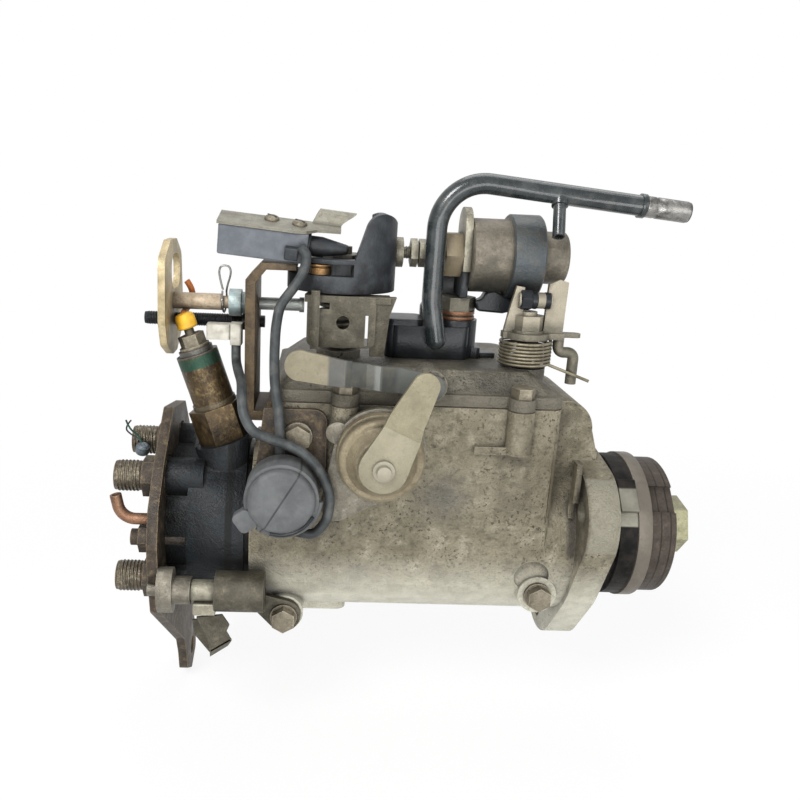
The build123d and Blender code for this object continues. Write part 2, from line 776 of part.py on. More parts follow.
# ================================================================ connector and leads
connector_centre = (-130.9, 31.0)   # X, Z
connector_radius = 13.7
connector_back = 42.0               # distance of its back from the shaft plane
connector_face = 65.0
with BuildPart() as connector_bracket:
    with BuildSketch(Plane.XZ.offset(box_half_width)) as sheet_outline:
        with BuildLine():
            Polyline((-139, 60), (-115, 60), (-115, 27), (-143, 27), close=True)
        make_face()
        fillet(sheet_outline.vertices().group_by(Axis.X)[-1], 5)
        with Locations((housing_screw_places[2][0], housing_screw_places[2][2])):
            Circle(lug_screw_radius, mode=Mode.SUBTRACT)
    extrude(amount=sheet_thickness)
keep(connector_bracket, "connector_bracket")

with BuildPart() as connector:
    with BuildSketch(Plane.XZ.offset(connector_back)):
        with Locations(connector_centre):
            Circle(connector_radius - 3)
    extrude(amount=8)
    with BuildSketch(Plane.XZ.offset(connector_back + 8)):
        with Locations(connector_centre):
            Circle(connector_radius)
    extrude(amount=connector_face - connector_back - 11)
    with BuildSketch(Plane.XZ.offset(connector_face - 3)):
        with Locations(connector_centre):
            Circle(connector_radius - 1.2)
    extrude(amount=3)
    fillet(connector.faces().sort_by(Axis.Y)[0].edges(), 2.2)
    # tear-off tab at the lower left
    with BuildSketch(Plane.XZ.offset(connector_face - 6)):
        with Locations((connector_centre[0] - 13.2, connector_centre[1] - 8.2)):
            RectangleRounded(7, 8, 2, rotation=35)
    extrude(amount=4)
keep(connector, "lead_connector")


def cord_path(points, largest=1000.0):
    """Straight runs joined by tangent arcs, each as large as its two runs allow."""
    places = [Vector(*point) for point in points]
    radii = []
    for before, corner, after in zip(places, places[1:], places[2:]):
        turn = (corner - before).get_angle(after - corner)
        run = min((corner - before).length, (after - corner).length)
        radii.append(min(largest, 0.45 * run / tan(radians(turn / 2))))
    print("cord radii", [round(radius, 1) for radius in radii])
    return FilletPolyline(*places, radius=radii)


lead_radius = 1.9
switch_lead_route = ((-126.9, -28.4, 119.2), (-124.6, -29.8, 116.5), (-125.6, -30.6, 110), (-129.5, -31.6, 104),
                     (-134.2, -34.5, 98), (-135.4, -37.5, 90), (-135.6, -39.6, 80), (-135.2, -42.5, 70),
                     (-133.4, -46, 61.5), (-132.4, -47.8, 52), (-132.4, -47.8, 41.9))
with BuildPart() as switch_lead:
    with BuildLine() as switch_lead_path:
        cord_path(switch_lead_route)
    with BuildSketch(Plane(origin=switch_lead_path.line @ 0, z_dir=switch_lead_path.line % 0)):
        Circle(lead_radius)
    sweep()
keep(switch_lead, "switch_lead")

harness_route = ((-152.2, -16.4, 79), (-152.2, -16.4, 72.5), (-150.4, -26, 70.5), (-147.8, -38, 69),
                 (-147, -46.5, 65.5), (-145.9, -51, 59.5), (-142.3, -52.5, 53.6), (-134.5, -52.8, 51),
                 (-124.5, -53.4, 47.6), (-116.9, -54.6, 40.5), (-112.8, -55.5, 30.5), (-114, -55.5, 20.7),
                 (-118.8, -55, 14.5), (-125.2, -54.6, 15.8))
with BuildPart() as harness_lead:
    with BuildLine() as harness_path:
        cord_path(harness_route)
    with BuildSketch(Plane(origin=harness_path.line @ 0, z_dir=harness_path.line % 0)):
        Circle(lead_radius)
    sweep()
keep(harness_lead, "harness_lead")

# ================================================================ advance unit
advance_face = box_half_width + 8.0      # distance of the barrel's face from the shaft plane
advance_plate_thickness = 2.0
advance_cap_depth = 15.0
advance_piston_half = 16.0
cold_start_shaft_radius = 3.0
advance_centre = (advance_x, advance_height)
with BuildPart() as advance_plate:
    with BuildSketch(Plane.XZ.offset(advance_face)):
        with Locations(advance_centre):
            Circle(advance_boss_radius + 1)
        with Locations((advance_x - 15.5, advance_height - 21.5)):
            Circle(6)
        make_hull()
        with Locations((advance_x - 16.2, advance_height + 7.5)):
            Circle(4.2)
        with Locations(advance_centre):
            Circle(advance_bore_radius, mode=Mode.SUBTRACT)
    extrude(amount=advance_plate_thickness)
keep(advance_plate, "advance_plate")

cap_base = advance_face + advance_plate_thickness
with BuildPart() as advance_cap:
    with BuildSketch(Plane.XZ.offset(cap_base)):
        with Locations(advance_centre):
            Circle(advance_boss_radius)
    extrude(amount=4.5)
    with BuildSketch(Plane.XZ.offset(cap_base + 4.5)):
        with Locations(advance_centre):
            Circle(advance_boss_radius - 2.4)
    extrude(amount=1.6)
    with BuildSketch(Plane.XZ.offset(cap_base + 6.1)):
        with Locations(advance_centre):
            Circle(advance_boss_radius - 0.6)
    extrude(amount=4)
    fillet(advance_cap.faces().sort_by(Axis.Y)[0].edges(), 1.8)
    with BuildSketch(Plane.XZ.offset(cap_base + 10.1)):
        with Locations(advance_centre):
            Circle(advance_boss_radius - 3.4)
    extrude(amount=advance_cap_depth - 10.1, taper=35)
    # hollow for the spring, and the bore of the lever's shaft
    with BuildSketch(Plane.XZ.offset(cap_base)):
        with Locations(advance_centre):
            Circle(advance_bore_radius - 1.5)
    extrude(amount=8, mode=Mode.SUBTRACT)
    with BuildSketch(Plane.XZ.offset(cap_base + 8)):
        with Locations(advance_centre):
            Circle(cold_start_shaft_radius + running_clearance)
    extrude(amount=advance_cap_depth, mode=Mode.SUBTRACT)
keep(advance_cap, "advance_cap")

peg_hole_radius = 5.2
with BuildPart() as advance_piston:
    with BuildSketch(Plane.XZ.offset(advance_piston_half)):
        with Locations(advance_centre):
            Circle(advance_bore_radius - running_clearance)
    extrude(amount=-2 * advance_piston_half)
    with BuildSketch(Plane.XY.offset(advance_height - advance_bore_radius - 1)):
        with Locations((advance_x, 0)):
            Circle(peg_hole_radius)
    extrude(amount=advance_bore_radius + 3, mode=Mode.SUBTRACT)
keep(advance_piston, "advance_piston")


def coil(axis_plane, radius, wire, pitch, turns):
    """A round-wire helical spring that stands on the given plane."""
    with BuildPart(mode=Mode.PRIVATE) as spring:
        with BuildLine(axis_plane) as spring_line:
            Helix(pitch=pitch, height=pitch * turns, radius=radius)
        with BuildSketch(Plane(origin=spring_line.line @ 0, z_dir=spring_line.line % 0)):
            Circle(wire)
        sweep(is_frenet=True)
    return spring.part


# ---------------------------------------------------------------- cold-start lever
cold_start_length = 32.7
cold_start_angle = 24.4      # degrees from +Z towards +X
cold_start_eye_radius = 8.8
cold_start_tip_radius = 4.9
lever_thickness = 2.0
lever_step = 3.0             # the tip lies this much nearer the housing
lever_face = cap_base + advance_cap_depth + 1.0
tip_centre = (advance_x + cold_start_length * sin(radians(cold_start_angle)),
              advance_height + cold_start_length * cos(radians(cold_start_angle)))
lever_edge_plane = Plane(origin=(advance_x, -lever_face, advance_height),
                         x_dir=(sin(radians(cold_start_angle)), 0, cos(radians(cold_start_angle))),
                         z_dir=(cos(radians(cold_start_angle)), 0, -sin(radians(cold_start_angle))))
with BuildPart() as cold_start_lever:
    with BuildSketch(Plane.XZ.offset(lever_face - lever_step - 1)):
        with Locations(advance_centre):
            Circle(cold_start_eye_radius)
        with Locations(tip_centre):
            Circle(cold_start_tip_radius)
        make_hull()
    extrude(amount=lever_thickness + lever_step + 2)
    # side profile of the strip, with its step
    with BuildSketch(lever_edge_plane):
        with BuildLine():
            Polyline((-12, 0), (14, 0), (18, -lever_step), (40, -lever_step),
                     (40, -lever_step + lever_thickness), (18.4, -lever_step + lever_thickness),
                     (14.4, lever_thickness), (-12, lever_thickness), close=True)
        make_face()
    extrude(amount=12, both=True, mode=Mode.INTERSECT)
    # boss, stud and shaft
    with BuildSketch(Plane.XZ.offset(lever_face + lever_thickness)):
        with Locations(advance_centre):
            Circle(3.9)
    extrude(amount=1.8)
    with BuildSketch(Plane.XZ.offset(lever_face + lever_thickness + 1.8)):
        with Locations(advance_centre):
            Circle(2.5)
    extrude(amount=2.2)
    with BuildSketch(Plane.XZ.offset(lever_face)):
        with Locations(advance_centre):
            Circle(cold_start_shaft_radius)
    extrude(amount=-advance_cap_depth + 5)
keep(cold_start_lever, "cold_start_lever")

# ---------------------------------------------------------------- stop lever
stop_lever_width = 8.5
stop_grip_width = 11.0
stop_lever_thickness = 2.0
stop_lever_face = stop_boss_face + 0.4
stop_tip = (-125.6, 80.2)    # X, Z of the centre of the rounded grip
with BuildPart() as stop_lever:
    with BuildSketch(Plane.XZ.offset(stop_lever_face - 1)):
        with Locations((stop_x, stop_height)):
            Circle(stop_lever_width / 2 + 0.6)
        with Locations((-107, 77.2)):
            Circle(stop_lever_width / 2)
        make_hull()
        with BuildLine():
            Polyline((-107, 82), (stop_tip[0], stop_tip[1] + stop_grip_width / 2),
                     (stop_tip[0], stop_tip[1] - stop_grip_width / 2), (-107, 72.4), close=True)
        make_face()
        with Locations(stop_tip):
            Circle(stop_grip_width / 2)
    extrude(amount=18)
    # side profile seen from above, with its two steps away from the housing
    with BuildSketch(Plane.XY.offset(60)):
        with BuildLine():
            Polyline((stop_x + 8, -stop_lever_face), (-88, -stop_lever_face),
                     (-96, -stop_lever_face - 5.5), (-101, -stop_lever_face - 5.5),
                     (-109, -stop_lever_face - 11), (-134, -stop_lever_face - 11),
                     (-134, -stop_lever_face - 11 - stop_lever_thickness),
                     (-109.6, -stop_lever_face - 11 - stop_lever_thickness),
                     (-101.6, -stop_lever_face - 5.5 - stop_lever_thickness),
                     (-96.6, -stop_lever_face - 5.5 - stop_lever_thickness),
                     (-88.6, -stop_lever_face - stop_lever_thickness),
                     (stop_x + 8, -stop_lever_face - stop_lever_thickness), close=True)
        make_face()
    extrude(amount=40, mode=Mode.INTERSECT)
    with BuildSketch(Plane.XZ.offset(stop_lever_face)):
        with Locations((stop_x, stop_height)):
            Circle(stop_shaft_radius)
    extrude(amount=-stop_shaft_depth + 1)
    with BuildSketch(Plane.XZ.offset(stop_lever_face + stop_lever_thickness)):
        with Locations((stop_x, stop_height)):
            Circle(stop_shaft_radius - 0.5)
    extrude(amount=1.2)
keep(stop_lever, "stop_lever")

# ================================================================ drive line
shaft_thread_radius = 7.0
shaft_nose_radius = 8.5
with BuildPart() as drive_shaft:
    with BuildSketch(Plane.YZ.offset(shaft_rear)):
        Circle(shaft_radius)
    extrude(amount=hub_disc_rear - shaft_rear)
    with BuildSketch(Plane.YZ.offset(hub_disc_rear)):
        Circle(shaft_nose_radius)
    extrude(amount=hub_front - hub_disc_rear - 3)
    with BuildSketch(Plane.YZ.offset(hub_front - 3)):
        Circle(shaft_thread_radius)
    extrude(amount=hub_nut_thickness + 3.8)
    chamfer(drive_shaft.faces().sort_by(Axis.X)[-1].edges(), 1)
keep(drive_shaft, "drive_shaft")

hub_drum_radius = 31.3
hub_slot_angle = 137.0       # degrees from +Y towards +Z
with BuildPart() as drive_hub:
    with BuildSketch(Plane.YZ.offset(hub_rear)):
        Circle(hub_drum_radius)
        Circle(hub_drum_radius - 4, mode=Mode.SUBTRACT)
        Circle(shaft_radius + 6)
        Circle(shaft_radius, mode=Mode.SUBTRACT)
    extrude(amount=hub_disc_rear - hub_rear)
    with BuildSketch(Plane.YZ.offset(hub_disc_rear)):
        Circle(hub_disc_radius)
        Circle(shaft_nose_radius, mode=Mode.SUBTRACT)
    extrude(amount=hub_disc_thickness)
    with BuildSketch(Plane.YZ.offset(hub_disc_rear + hub_disc_thickness)):
        Circle(hub_front_radius)
        Circle(shaft_nose_radius, mode=Mode.SUBTRACT)
    extrude(amount=hub_front_length - 3)
    with BuildSketch(Plane.YZ.offset(hub_front - 3)):
        Circle(hub_front_radius)
        Circle(shaft_thread_radius, mode=Mode.SUBTRACT)
    extrude(amount=3)
    chamfer(drive_hub.faces().sort_by(Axis.X)[-1].outer_wire().edges(), 0.8)
    # flat-bottomed slot across the rim, and the lug on the drum
    slot_plane = Plane.YZ.offset(hub_disc_rear + hub_disc_thickness)
    with BuildSketch(slot_plane):
        with PolarLocations(hub_front_radius, 1, start_angle=hub_slot_angle):
            Rectangle(5, 11.7)
    extrude(amount=hub_front_length, mode=Mode.SUBTRACT)
    with BuildSketch(Plane.YZ.offset(hub_rear)):
        with PolarLocations(hub_drum_radius, 1, start_angle=hub_slot_angle):
            Rectangle(3, 14)
    extrude(amount=hub_disc_rear - hub_rear)
keep(drive_hub, "drive_hub")

with BuildPart() as hub_nut:
    with BuildSketch(Plane.YZ.offset(hub_front)):
        Circle(hexagon(hub_nut_across_flats))
        Circle(shaft_thread_radius, mode=Mode.SUBTRACT)
    extrude(amount=1.2)
    with BuildSketch(Plane.YZ.offset(hub_front + 1.2)):
        RegularPolygon(hexagon(hub_nut_across_flats), 6, rotation=10)
        Circle(shaft_thread_radius, mode=Mode.SUBTRACT)
    extrude(amount=hub_nut_thickness - 1.2)
keep(hub_nut, "hub_nut")

with BuildPart() as shaft_seal:
    with BuildSketch(Plane.YZ.offset(pilot_length - seal_length)):
        Circle(bush_radius)
        Circle(shaft_radius + running_clearance, mode=Mode.SUBTRACT)
    extrude(amount=seal_length)
keep(shaft_seal, "shaft_seal")

# ---------------------------------------------------------------- distributor rotor and plungers
rotor_head_radius = 14.0
rotor_tang_radius = 7.0
plunger_radius = 3.5
cam_front = -86.0
cam_rear = -105.0
cam_mid = (cam_front + cam_rear) / 2
with BuildPart() as rotor:
    with BuildSketch(Plane.YZ.offset(head_rear + 5)):
        Circle(rotor_radius)
    extrude(amount=cam_rear - head_rear - 5)
    with BuildSketch(Plane.YZ.offset(cam_rear)):
        Circle(rotor_head_radius)
    extrude(amount=cam_front - cam_rear)
    # tang that the drive shaft turns
    with BuildSketch(Plane.YZ.offset(cam_front)):
        Circle(rotor_tang_radius)
    extrude(amount=shaft_rear - cam_front)
    # cross bore of the plungers
    with BuildSketch(Plane.XZ.offset(rotor_head_radius)):
        with Locations((cam_mid, 0)):
            Circle(plunger_radius + running_clearance)
    extrude(amount=-2 * rotor_head_radius, mode=Mode.SUBTRACT)
keep(rotor, "distributor_rotor")

roller_radius = 3.5
for number, side in ((1, 1), (2, -1)):
    with BuildPart() as plunger:
        with BuildSketch(Plane.XZ.offset(-side * 4)):
            with Locations((cam_mid, 0)):
                Circle(plunger_radius)
        extrude(amount=-side * (rotor_head_radius - 4 + slip_clearance))
        # shoe and roller
        with BuildSketch(Plane.XZ.offset(-side * (rotor_head_radius + slip_clearance))):
            with Locations((cam_mid, 0)):
                Rectangle(12, 9)
        extrude(amount=-side * 3)
        with BuildSketch(Plane.YZ.offset(cam_mid - 6)):
            with Locations((side * (rotor_head_radius + slip_clearance + 3 + roller_radius - 0.6), 0)):
                Circle(roller_radius)
        extrude(amount=12)
    keep(plunger, f"pumping_plunger_{number}")

cam_inner_radius = 24.2
cam_lobe_height = 0.8
peg_radius = 4.6
cam_lobes = 4
with BuildPart() as cam_ring:
    with BuildSketch(Plane.YZ.offset(cam_rear)):
        Circle(bore_radius - running_clearance)
        Circle(cam_inner_radius + 0.6, mode=Mode.SUBTRACT)
        # lobes that push the rollers inwards
        with PolarLocations(cam_inner_radius + 3 + 0.6 - cam_lobe_height, cam_lobes, start_angle=45):
            Ellipse(3, 7)
    extrude(amount=cam_front - cam_rear)
    # peg that the advance piston swings
    with BuildSketch(Plane.XY.offset(bore_radius - 2)):
        with Locations((advance_x, 0)):
            Circle(peg_radius)
    extrude(amount=advance_height - bore_radius + 2)
keep(cam_ring, "cam_ring")

# ---------------------------------------------------------------- governor
cage_front = -36.0
weight_inner = 14.5
with BuildPart() as governor_cage:
    with BuildSketch(Plane.YZ.offset(cage_front - 3)):
        Circle(26)
        Circle(shaft_radius, mode=Mode.SUBTRACT)
    extrude(amount=3)
    with BuildSketch(Plane.YZ.offset(cage_front)):
        Circle(shaft_radius + 4)
        Circle(shaft_radius, mode=Mode.SUBTRACT)
    extrude(amount=6)
    # fingers between the weights
    with BuildSketch(Plane.YZ.offset(cage_front - 22)):
        with PolarLocations(22, 2, start_angle=90):
            Rectangle(3.5, 14)
    extrude(amount=19)
keep(governor_cage, "governor_cage")

for number, side in ((1, 1), (2, -1)):
    with BuildPart() as weight:
        with BuildSketch(Plane.YZ.offset(cage_front - 20)):
            with Locations((side * (weight_inner + 3.5), 0)):
                Rectangle(7, 22)
        extrude(amount=16)
        fillet(weight.edges().filter_by(Axis.X), 1.5)
    keep(weight, f"governor_weight_{number}")

sleeve_front = -46.0
sleeve_length = 12.0
with BuildPart() as thrust_sleeve:
    with BuildSketch(Plane.YZ.offset(sleeve_front - sleeve_length)):
        Circle(shaft_radius + 2.6)
        Circle(shaft_radius + running_clearance, mode=Mode.SUBTRACT)
    extrude(amount=sleeve_length)
keep(thrust_sleeve, "thrust_sleeve")

with BuildPart() as governor_arm:
    with BuildSketch(Plane.YZ.offset(arm_pivot[0] + 2)) as arm_outline:
        with Locations((0, 38)):
            Rectangle(16, 44)
        with Locations((0, 20)):
            Rectangle(30, 8)
        fillet(arm_outline.vertices(), 1.5)
    extrude(amount=2.5)
    # pivot pin from wall to wall
    with BuildSketch(Plane.XZ.offset(box_half_width - 3 - slip_clearance)):
        with Locations(arm_pivot):
            Circle(arm_pivot_radius)
    extrude(amount=-2 * (box_half_width - 3 - slip_clearance))
keep(governor_arm, "governor_arm")

with BuildPart() as metering_valve:
    with BuildSketch(Plane.XY.offset(metering_bottom)):
        with Locations(metering_place):
            Circle(metering_radius)
    extrude(amount=cover_base + 1 + 1.6 - metering_bottom)
    with BuildSketch(Plane.XY.offset(cover_base + 1)):
        with Locations((metering_place[0] + 7, metering_place[1])):
            RectangleRounded(18, 5, 2)
    extrude(amount=2.4)
keep(metering_valve, "metering_valve")

# ================================================================ throttle unit
throttle_shaft_top = 119.0
throttle_plate_height = 99.5
throttle_plate_thickness = 2.5
quadrant_flange = 6.5        # lower flange of the cable groove
quadrant_groove = 4.5
quadrant_groove_radius = 16.5
quadrant_wall_radius = 14.0
with BuildPart() as throttle_shaft:
    with BuildSketch(Plane.XY.offset(cover_base + 1)):
        with Locations(throttle_axis):
            Circle(throttle_shaft_radius)
    extrude(amount=throttle_shaft_top - cover_base - 1)
    # inner lever and nut
    with BuildSketch(Plane.XY.offset(cover_base + 3.8)):
        with Locations((throttle_axis[0] + 6, throttle_axis[1])):
            RectangleRounded(20, 8, 3)
    extrude(amount=2.5)
    with BuildSketch(Plane.XY.offset(quadrant_bottom + 8)):
        with Locations(throttle_axis):
            RegularPolygon(hexagon(13), 6)
    extrude(amount=5.5)
keep(throttle_shaft, "throttle_shaft")

with BuildPart() as throttle_bracket:
    with BuildSketch(Plane.XY.offset(throttle_plate_height)):
        with Locations(throttle_axis):
            Circle(11)
        with Locations((-113, -31)):
            Rectangle(24, 4)
        make_hull()
        with Locations(throttle_axis):
            Circle(throttle_shaft_radius, mode=Mode.SUBTRACT)
    extrude(amount=throttle_plate_thickness)
    # apron in front, with its hole and its two slots
    with BuildSketch(Plane.XZ.offset(31)) as apron:
        with Locations((-111.0, 92.2)):
            Rectangle(26, 19.6)
        fillet(apron.vertices().group_by(Axis.Y)[0], 3)
        with Locations((-110.3, 92)):
            Circle(2.6, mode=Mode.SUBTRACT)
        with Locations((-117.5, 98.5)):
            Rectangle(4, 3, mode=Mode.SUBTRACT)
        with Locations((-101.2, 89)):
            Rectangle(1.2, 12, mode=Mode.SUBTRACT)
    extrude(amount=2)
    # upright strip at the left end of the apron
    with BuildSketch(Plane.XZ.offset(33)):
        with Locations((-120.9, 93)):
            Rectangle(3.2, 22)
    extrude(amount=2.5)
    # arm at the right end
    with BuildSketch(Plane.XZ.offset(28.5)) as arm_face:
        with BuildLine():
            Polyline((-99.5, 79), (-94.2, 79), (-92.5, 95), (-90.2, 102), (-99.5, 102), close=True)
        make_face()
    extrude(amount=3)
    with BuildSketch(Plane.XY.offset(throttle_plate_height)):
        with Locations((-97, -28.5)):
            Rectangle(9, 8)
    extrude(amount=throttle_plate_thickness)
keep(throttle_bracket, "throttle_bracket")

tower_start = -79.0          # degrees about the throttle shaft
tower_sweep = 112.0
tower_bottom = quadrant_bottom + quadrant_flange + quadrant_groove
with BuildPart() as quadrant_tower:
    with BuildSketch(Plane.XY.offset(quadrant_bottom + quadrant_flange)):
        with Locations(throttle_axis):
            with BuildLine():
                outer = CenterArc(throttle_axis, quadrant_radius, tower_start, tower_sweep)
                inner = CenterArc(throttle_axis, quadrant_wall_radius, tower_start, tower_sweep)
                Line(outer @ 0, inner @ 0)
                Line(outer @ 1, inner @ 1)
            make_face()
    extrude(amount=26)
    # outline of the tower seen from the control side
    with BuildSketch(Plane.XZ):
        with BuildLine():
            Line((-108.5, 109), (-102.4, 127.5))
            ThreePointArc((-102.4, 127.5), (-95.5, 132.3), (-89, 127.5))
            Line((-89, 127.5), (-89, 109))
            Line((-89, 109), (-108.5, 109))
        make_face()
    extrude(amount=50, both=True, mode=Mode.INTERSECT)

with BuildPart() as quadrant:
    with BuildSketch(Plane.XY.offset(quadrant_bottom)):
        with Locations(throttle_axis):
            Circle(quadrant_radius)
    extrude(amount=quadrant_flange)
    with BuildSketch(Plane.XY.offset(quadrant_bottom + quadrant_flange)):
        with Locations(throttle_axis):
            Circle(quadrant_groove_radius)
    extrude(amount=quadrant_groove)
    with BuildSketch(Plane.XY.offset(tower_bottom)):
        with Locations(throttle_axis):
            Circle(quadrant_radius)
    extrude(amount=1.6)
    # the upper flange stops short of the switch
    with BuildSketch(Plane.XY.offset(tower_bottom)):
        with Locations((throttle_axis[0] - 13, throttle_axis[1])):
            Rectangle(12, 2 * quadrant_radius, align=(Align.MAX, Align.CENTER))
    extrude(amount=1.6, mode=Mode.SUBTRACT)
    add(quadrant_tower)
    # well for the nut, and the bore on the shaft
    with BuildSketch(Plane.XY.offset(quadrant_bottom + 8)):
        with Locations(throttle_axis):
            Circle(quadrant_wall_radius)
    extrude(amount=30, mode=Mode.SUBTRACT)
    with BuildSketch(Plane.XY.offset(quadrant_bottom)):
        with Locations(throttle_axis):
            Circle(throttle_shaft_radius)
    extrude(amount=10, mode=Mode.SUBTRACT)
    # cable entry on the left
    with BuildSketch(Plane.XZ.offset(45)):
        with Locations((-121, quadrant_bottom + quadrant_flange + quadrant_groove / 2)):
            Rectangle(11, quadrant_groove)
    extrude(amount=-25, mode=Mode.SUBTRACT)
keep(quadrant, "throttle_quadrant")

throttle_coil_radius = 7.6
with BuildPart() as throttle_spring:
    add(coil(Plane(origin=(*throttle_axis, cover_top + 4.8)), throttle_coil_radius, 0.9, 2.5, 7))
keep(throttle_spring, "throttle_spring")

# ================================================================ idle unit
idle_plate_height = 86.2
idle_plate_thickness = 2.5
with BuildPart() as idle_lever:
    with BuildSketch(Plane.XY.offset(idle_plate_height)):
        with Locations(idle_axis):
            Circle(9)
        with Locations((-26, idle_axis[1])):
            Rectangle(9, 6)
        with Locations((-43, idle_axis[1] - 0.5)):
            Rectangle(6, 5)
    extrude(amount=idle_plate_thickness)
    with BuildSketch(Plane.XY.offset(cover_base + slip_clearance)):
        with Locations(idle_axis):
            Circle(idle_shaft_radius)
    extrude(amount=97 - cover_base - slip_clearance)
    # washer and nut
    with BuildSketch(Plane.XY.offset(idle_plate_height + idle_plate_thickness)):
        with Locations(idle_axis):
            Circle(6.6)
    extrude(amount=1)
    with BuildSketch(Plane.XY.offset(idle_plate_height + idle_plate_thickness + 1)):
        with Locations(idle_axis):
            RegularPolygon(hexagon(11.5), 6)
    extrude(amount=5.8)
    # bent-up tab on the left and bar on the right
    with BuildSketch(Plane.XZ.offset(-idle_axis[1] - 0.5)) as idle_tabs:
        with BuildLine():
            Polyline((-46, 87), (-40, 87), (-38.6, 96), (-38.8, 106.5), (-42, 107), (-44, 98), close=True)
        make_face()
        with BuildLine():
            Polyline((-29.9, 87), (-22, 87), (-21.6, 109), (-25, 110), (-29.2, 108), close=True)
        make_face()
    extrude(amount=2.4)
    # ball stud between them
    with BuildSketch(Plane.YZ.offset(-41)):
        with Locations((idle_axis[1] - 1.2, 101.5)):
            Circle(3.2)
    extrude(amount=13)
    # tab and bent rod on the right
    with BuildSketch(Plane.XY.offset(idle_plate_height + 0.6)):
        with Locations((-20, idle_axis[1] + 2)):
            SlotOverall(13, 5)
    extrude(amount=1.6)
    with BuildLine() as idle_rod_path:
        FilletPolyline((-22.7, idle_axis[1], idle_plate_height + 1), (-22.7, idle_axis[1], 80.8),
                       (-16, idle_axis[1], 80.8), (-16, idle_axis[1], 68), radius=2.6)
    with BuildSketch(Plane(origin=idle_rod_path.line @ 0, z_dir=idle_rod_path.line % 0)):
        Circle(2.2)
    sweep()
keep(idle_lever, "idle_lever")

with BuildPart() as idle_spring:
    add(coil(Plane(origin=(*idle_axis, cover_top + 0.95)), idle_coil_radius, idle_wire_radius, 1.4,
             idle_coil_turns))
    # lower leg that rests against the rod
    with BuildLine() as idle_leg:
        Line((idle_axis[0] + idle_coil_radius - 0.3, idle_axis[1] + 0.6, cover_top + 1.0), (-10.5, -24, 70.5))
    with BuildSketch(Plane(origin=idle_leg.line @ 0, z_dir=idle_leg.line % 0)):
        Circle(idle_wire_radius)
    sweep()
keep(idle_spring, "idle_spring")

# ================================================================ damper
damper_plate_front = -59.5
damper_plate_thickness = 3.0
damper_stem_radius = 6.0
damper_rod_radius = 2.2
damper_travel = 6.0
damper_hex_front = damper_plate_front - damper_plate_thickness
damper_joint_height = dashpot_height - 6.1   # where the plate stands on the black upright
damper_centre = (dashpot_y, dashpot_height)
with BuildPart() as dashpot_body:
    with BuildSketch(Plane.YZ.offset(damper_plate_front)):
        with Locations(damper_centre):
            Circle(14.8)
    extrude(amount=15.5)
    with BuildSketch(Plane.YZ.offset(damper_plate_front + 15.5)):
        with Locations(damper_centre):
            Circle(16.9)
    extrude(amount=13)
    with BuildSketch(Plane.YZ.offset(damper_plate_front + 28.5)):
        with Locations(damper_centre):
            Circle(10.6)
    extrude(amount=11)
    chamfer(dashpot_body.edges().filter_by(GeomType.CIRCLE), 0.7)
    # threaded stem and hexagon
    with BuildSketch(Plane.YZ.offset(damper_plate_front)):
        with Locations(damper_centre):
            Circle(damper_stem_radius)
    extrude(amount=-damper_plate_thickness)
    with BuildSketch(Plane.YZ.offset(damper_hex_front)):
        with Locations(damper_centre):
            RegularPolygon(hexagon(17), 6)
    extrude(amount=-7)
    with BuildSketch(Plane.YZ.offset(damper_hex_front - 7)):
        with Locations(damper_centre):
            Circle(damper_rod_radius + running_clearance)
    extrude(amount=25, mode=Mode.SUBTRACT)
keep(dashpot_body, "dashpot_body")

with BuildPart() as damper_plunger:
    with BuildSketch(Plane.YZ.offset(damper_hex_front - 23.7)):
        with Locations(damper_centre):
            Circle(damper_rod_radius)
    extrude(amount=28)
    with BuildSketch(Plane.YZ.offset(damper_hex_front - 26.7)):
        with Locations(damper_centre):
            Circle(6)
    extrude(amount=3)
    for offset_x in (20.6, 17.2):
        with BuildSketch(Plane.YZ.offset(damper_hex_front - offset_x)):
            with Locations(damper_centre):
                RegularPolygon(hexagon(10), 6, rotation=offset_x)
        extrude(amount=2.8)
keep(damper_plunger, "damper_plunger")

with BuildPart() as dashpot_bracket:
    with BuildSketch(Plane.YZ.offset(damper_plate_front - damper_plate_thickness)):
        with Locations((dashpot_y, dashpot_height + 10)):
            Circle(9)
        with Locations((dashpot_y, damper_joint_height)):
            Rectangle(19, 5, align=(Align.CENTER, Align.MIN))
        make_hull()
        with Locations(damper_centre):
            Circle(damper_stem_radius, mode=Mode.SUBTRACT)
    extrude(amount=damper_plate_thickness)
keep(dashpot_bracket, "dashpot_bracket")

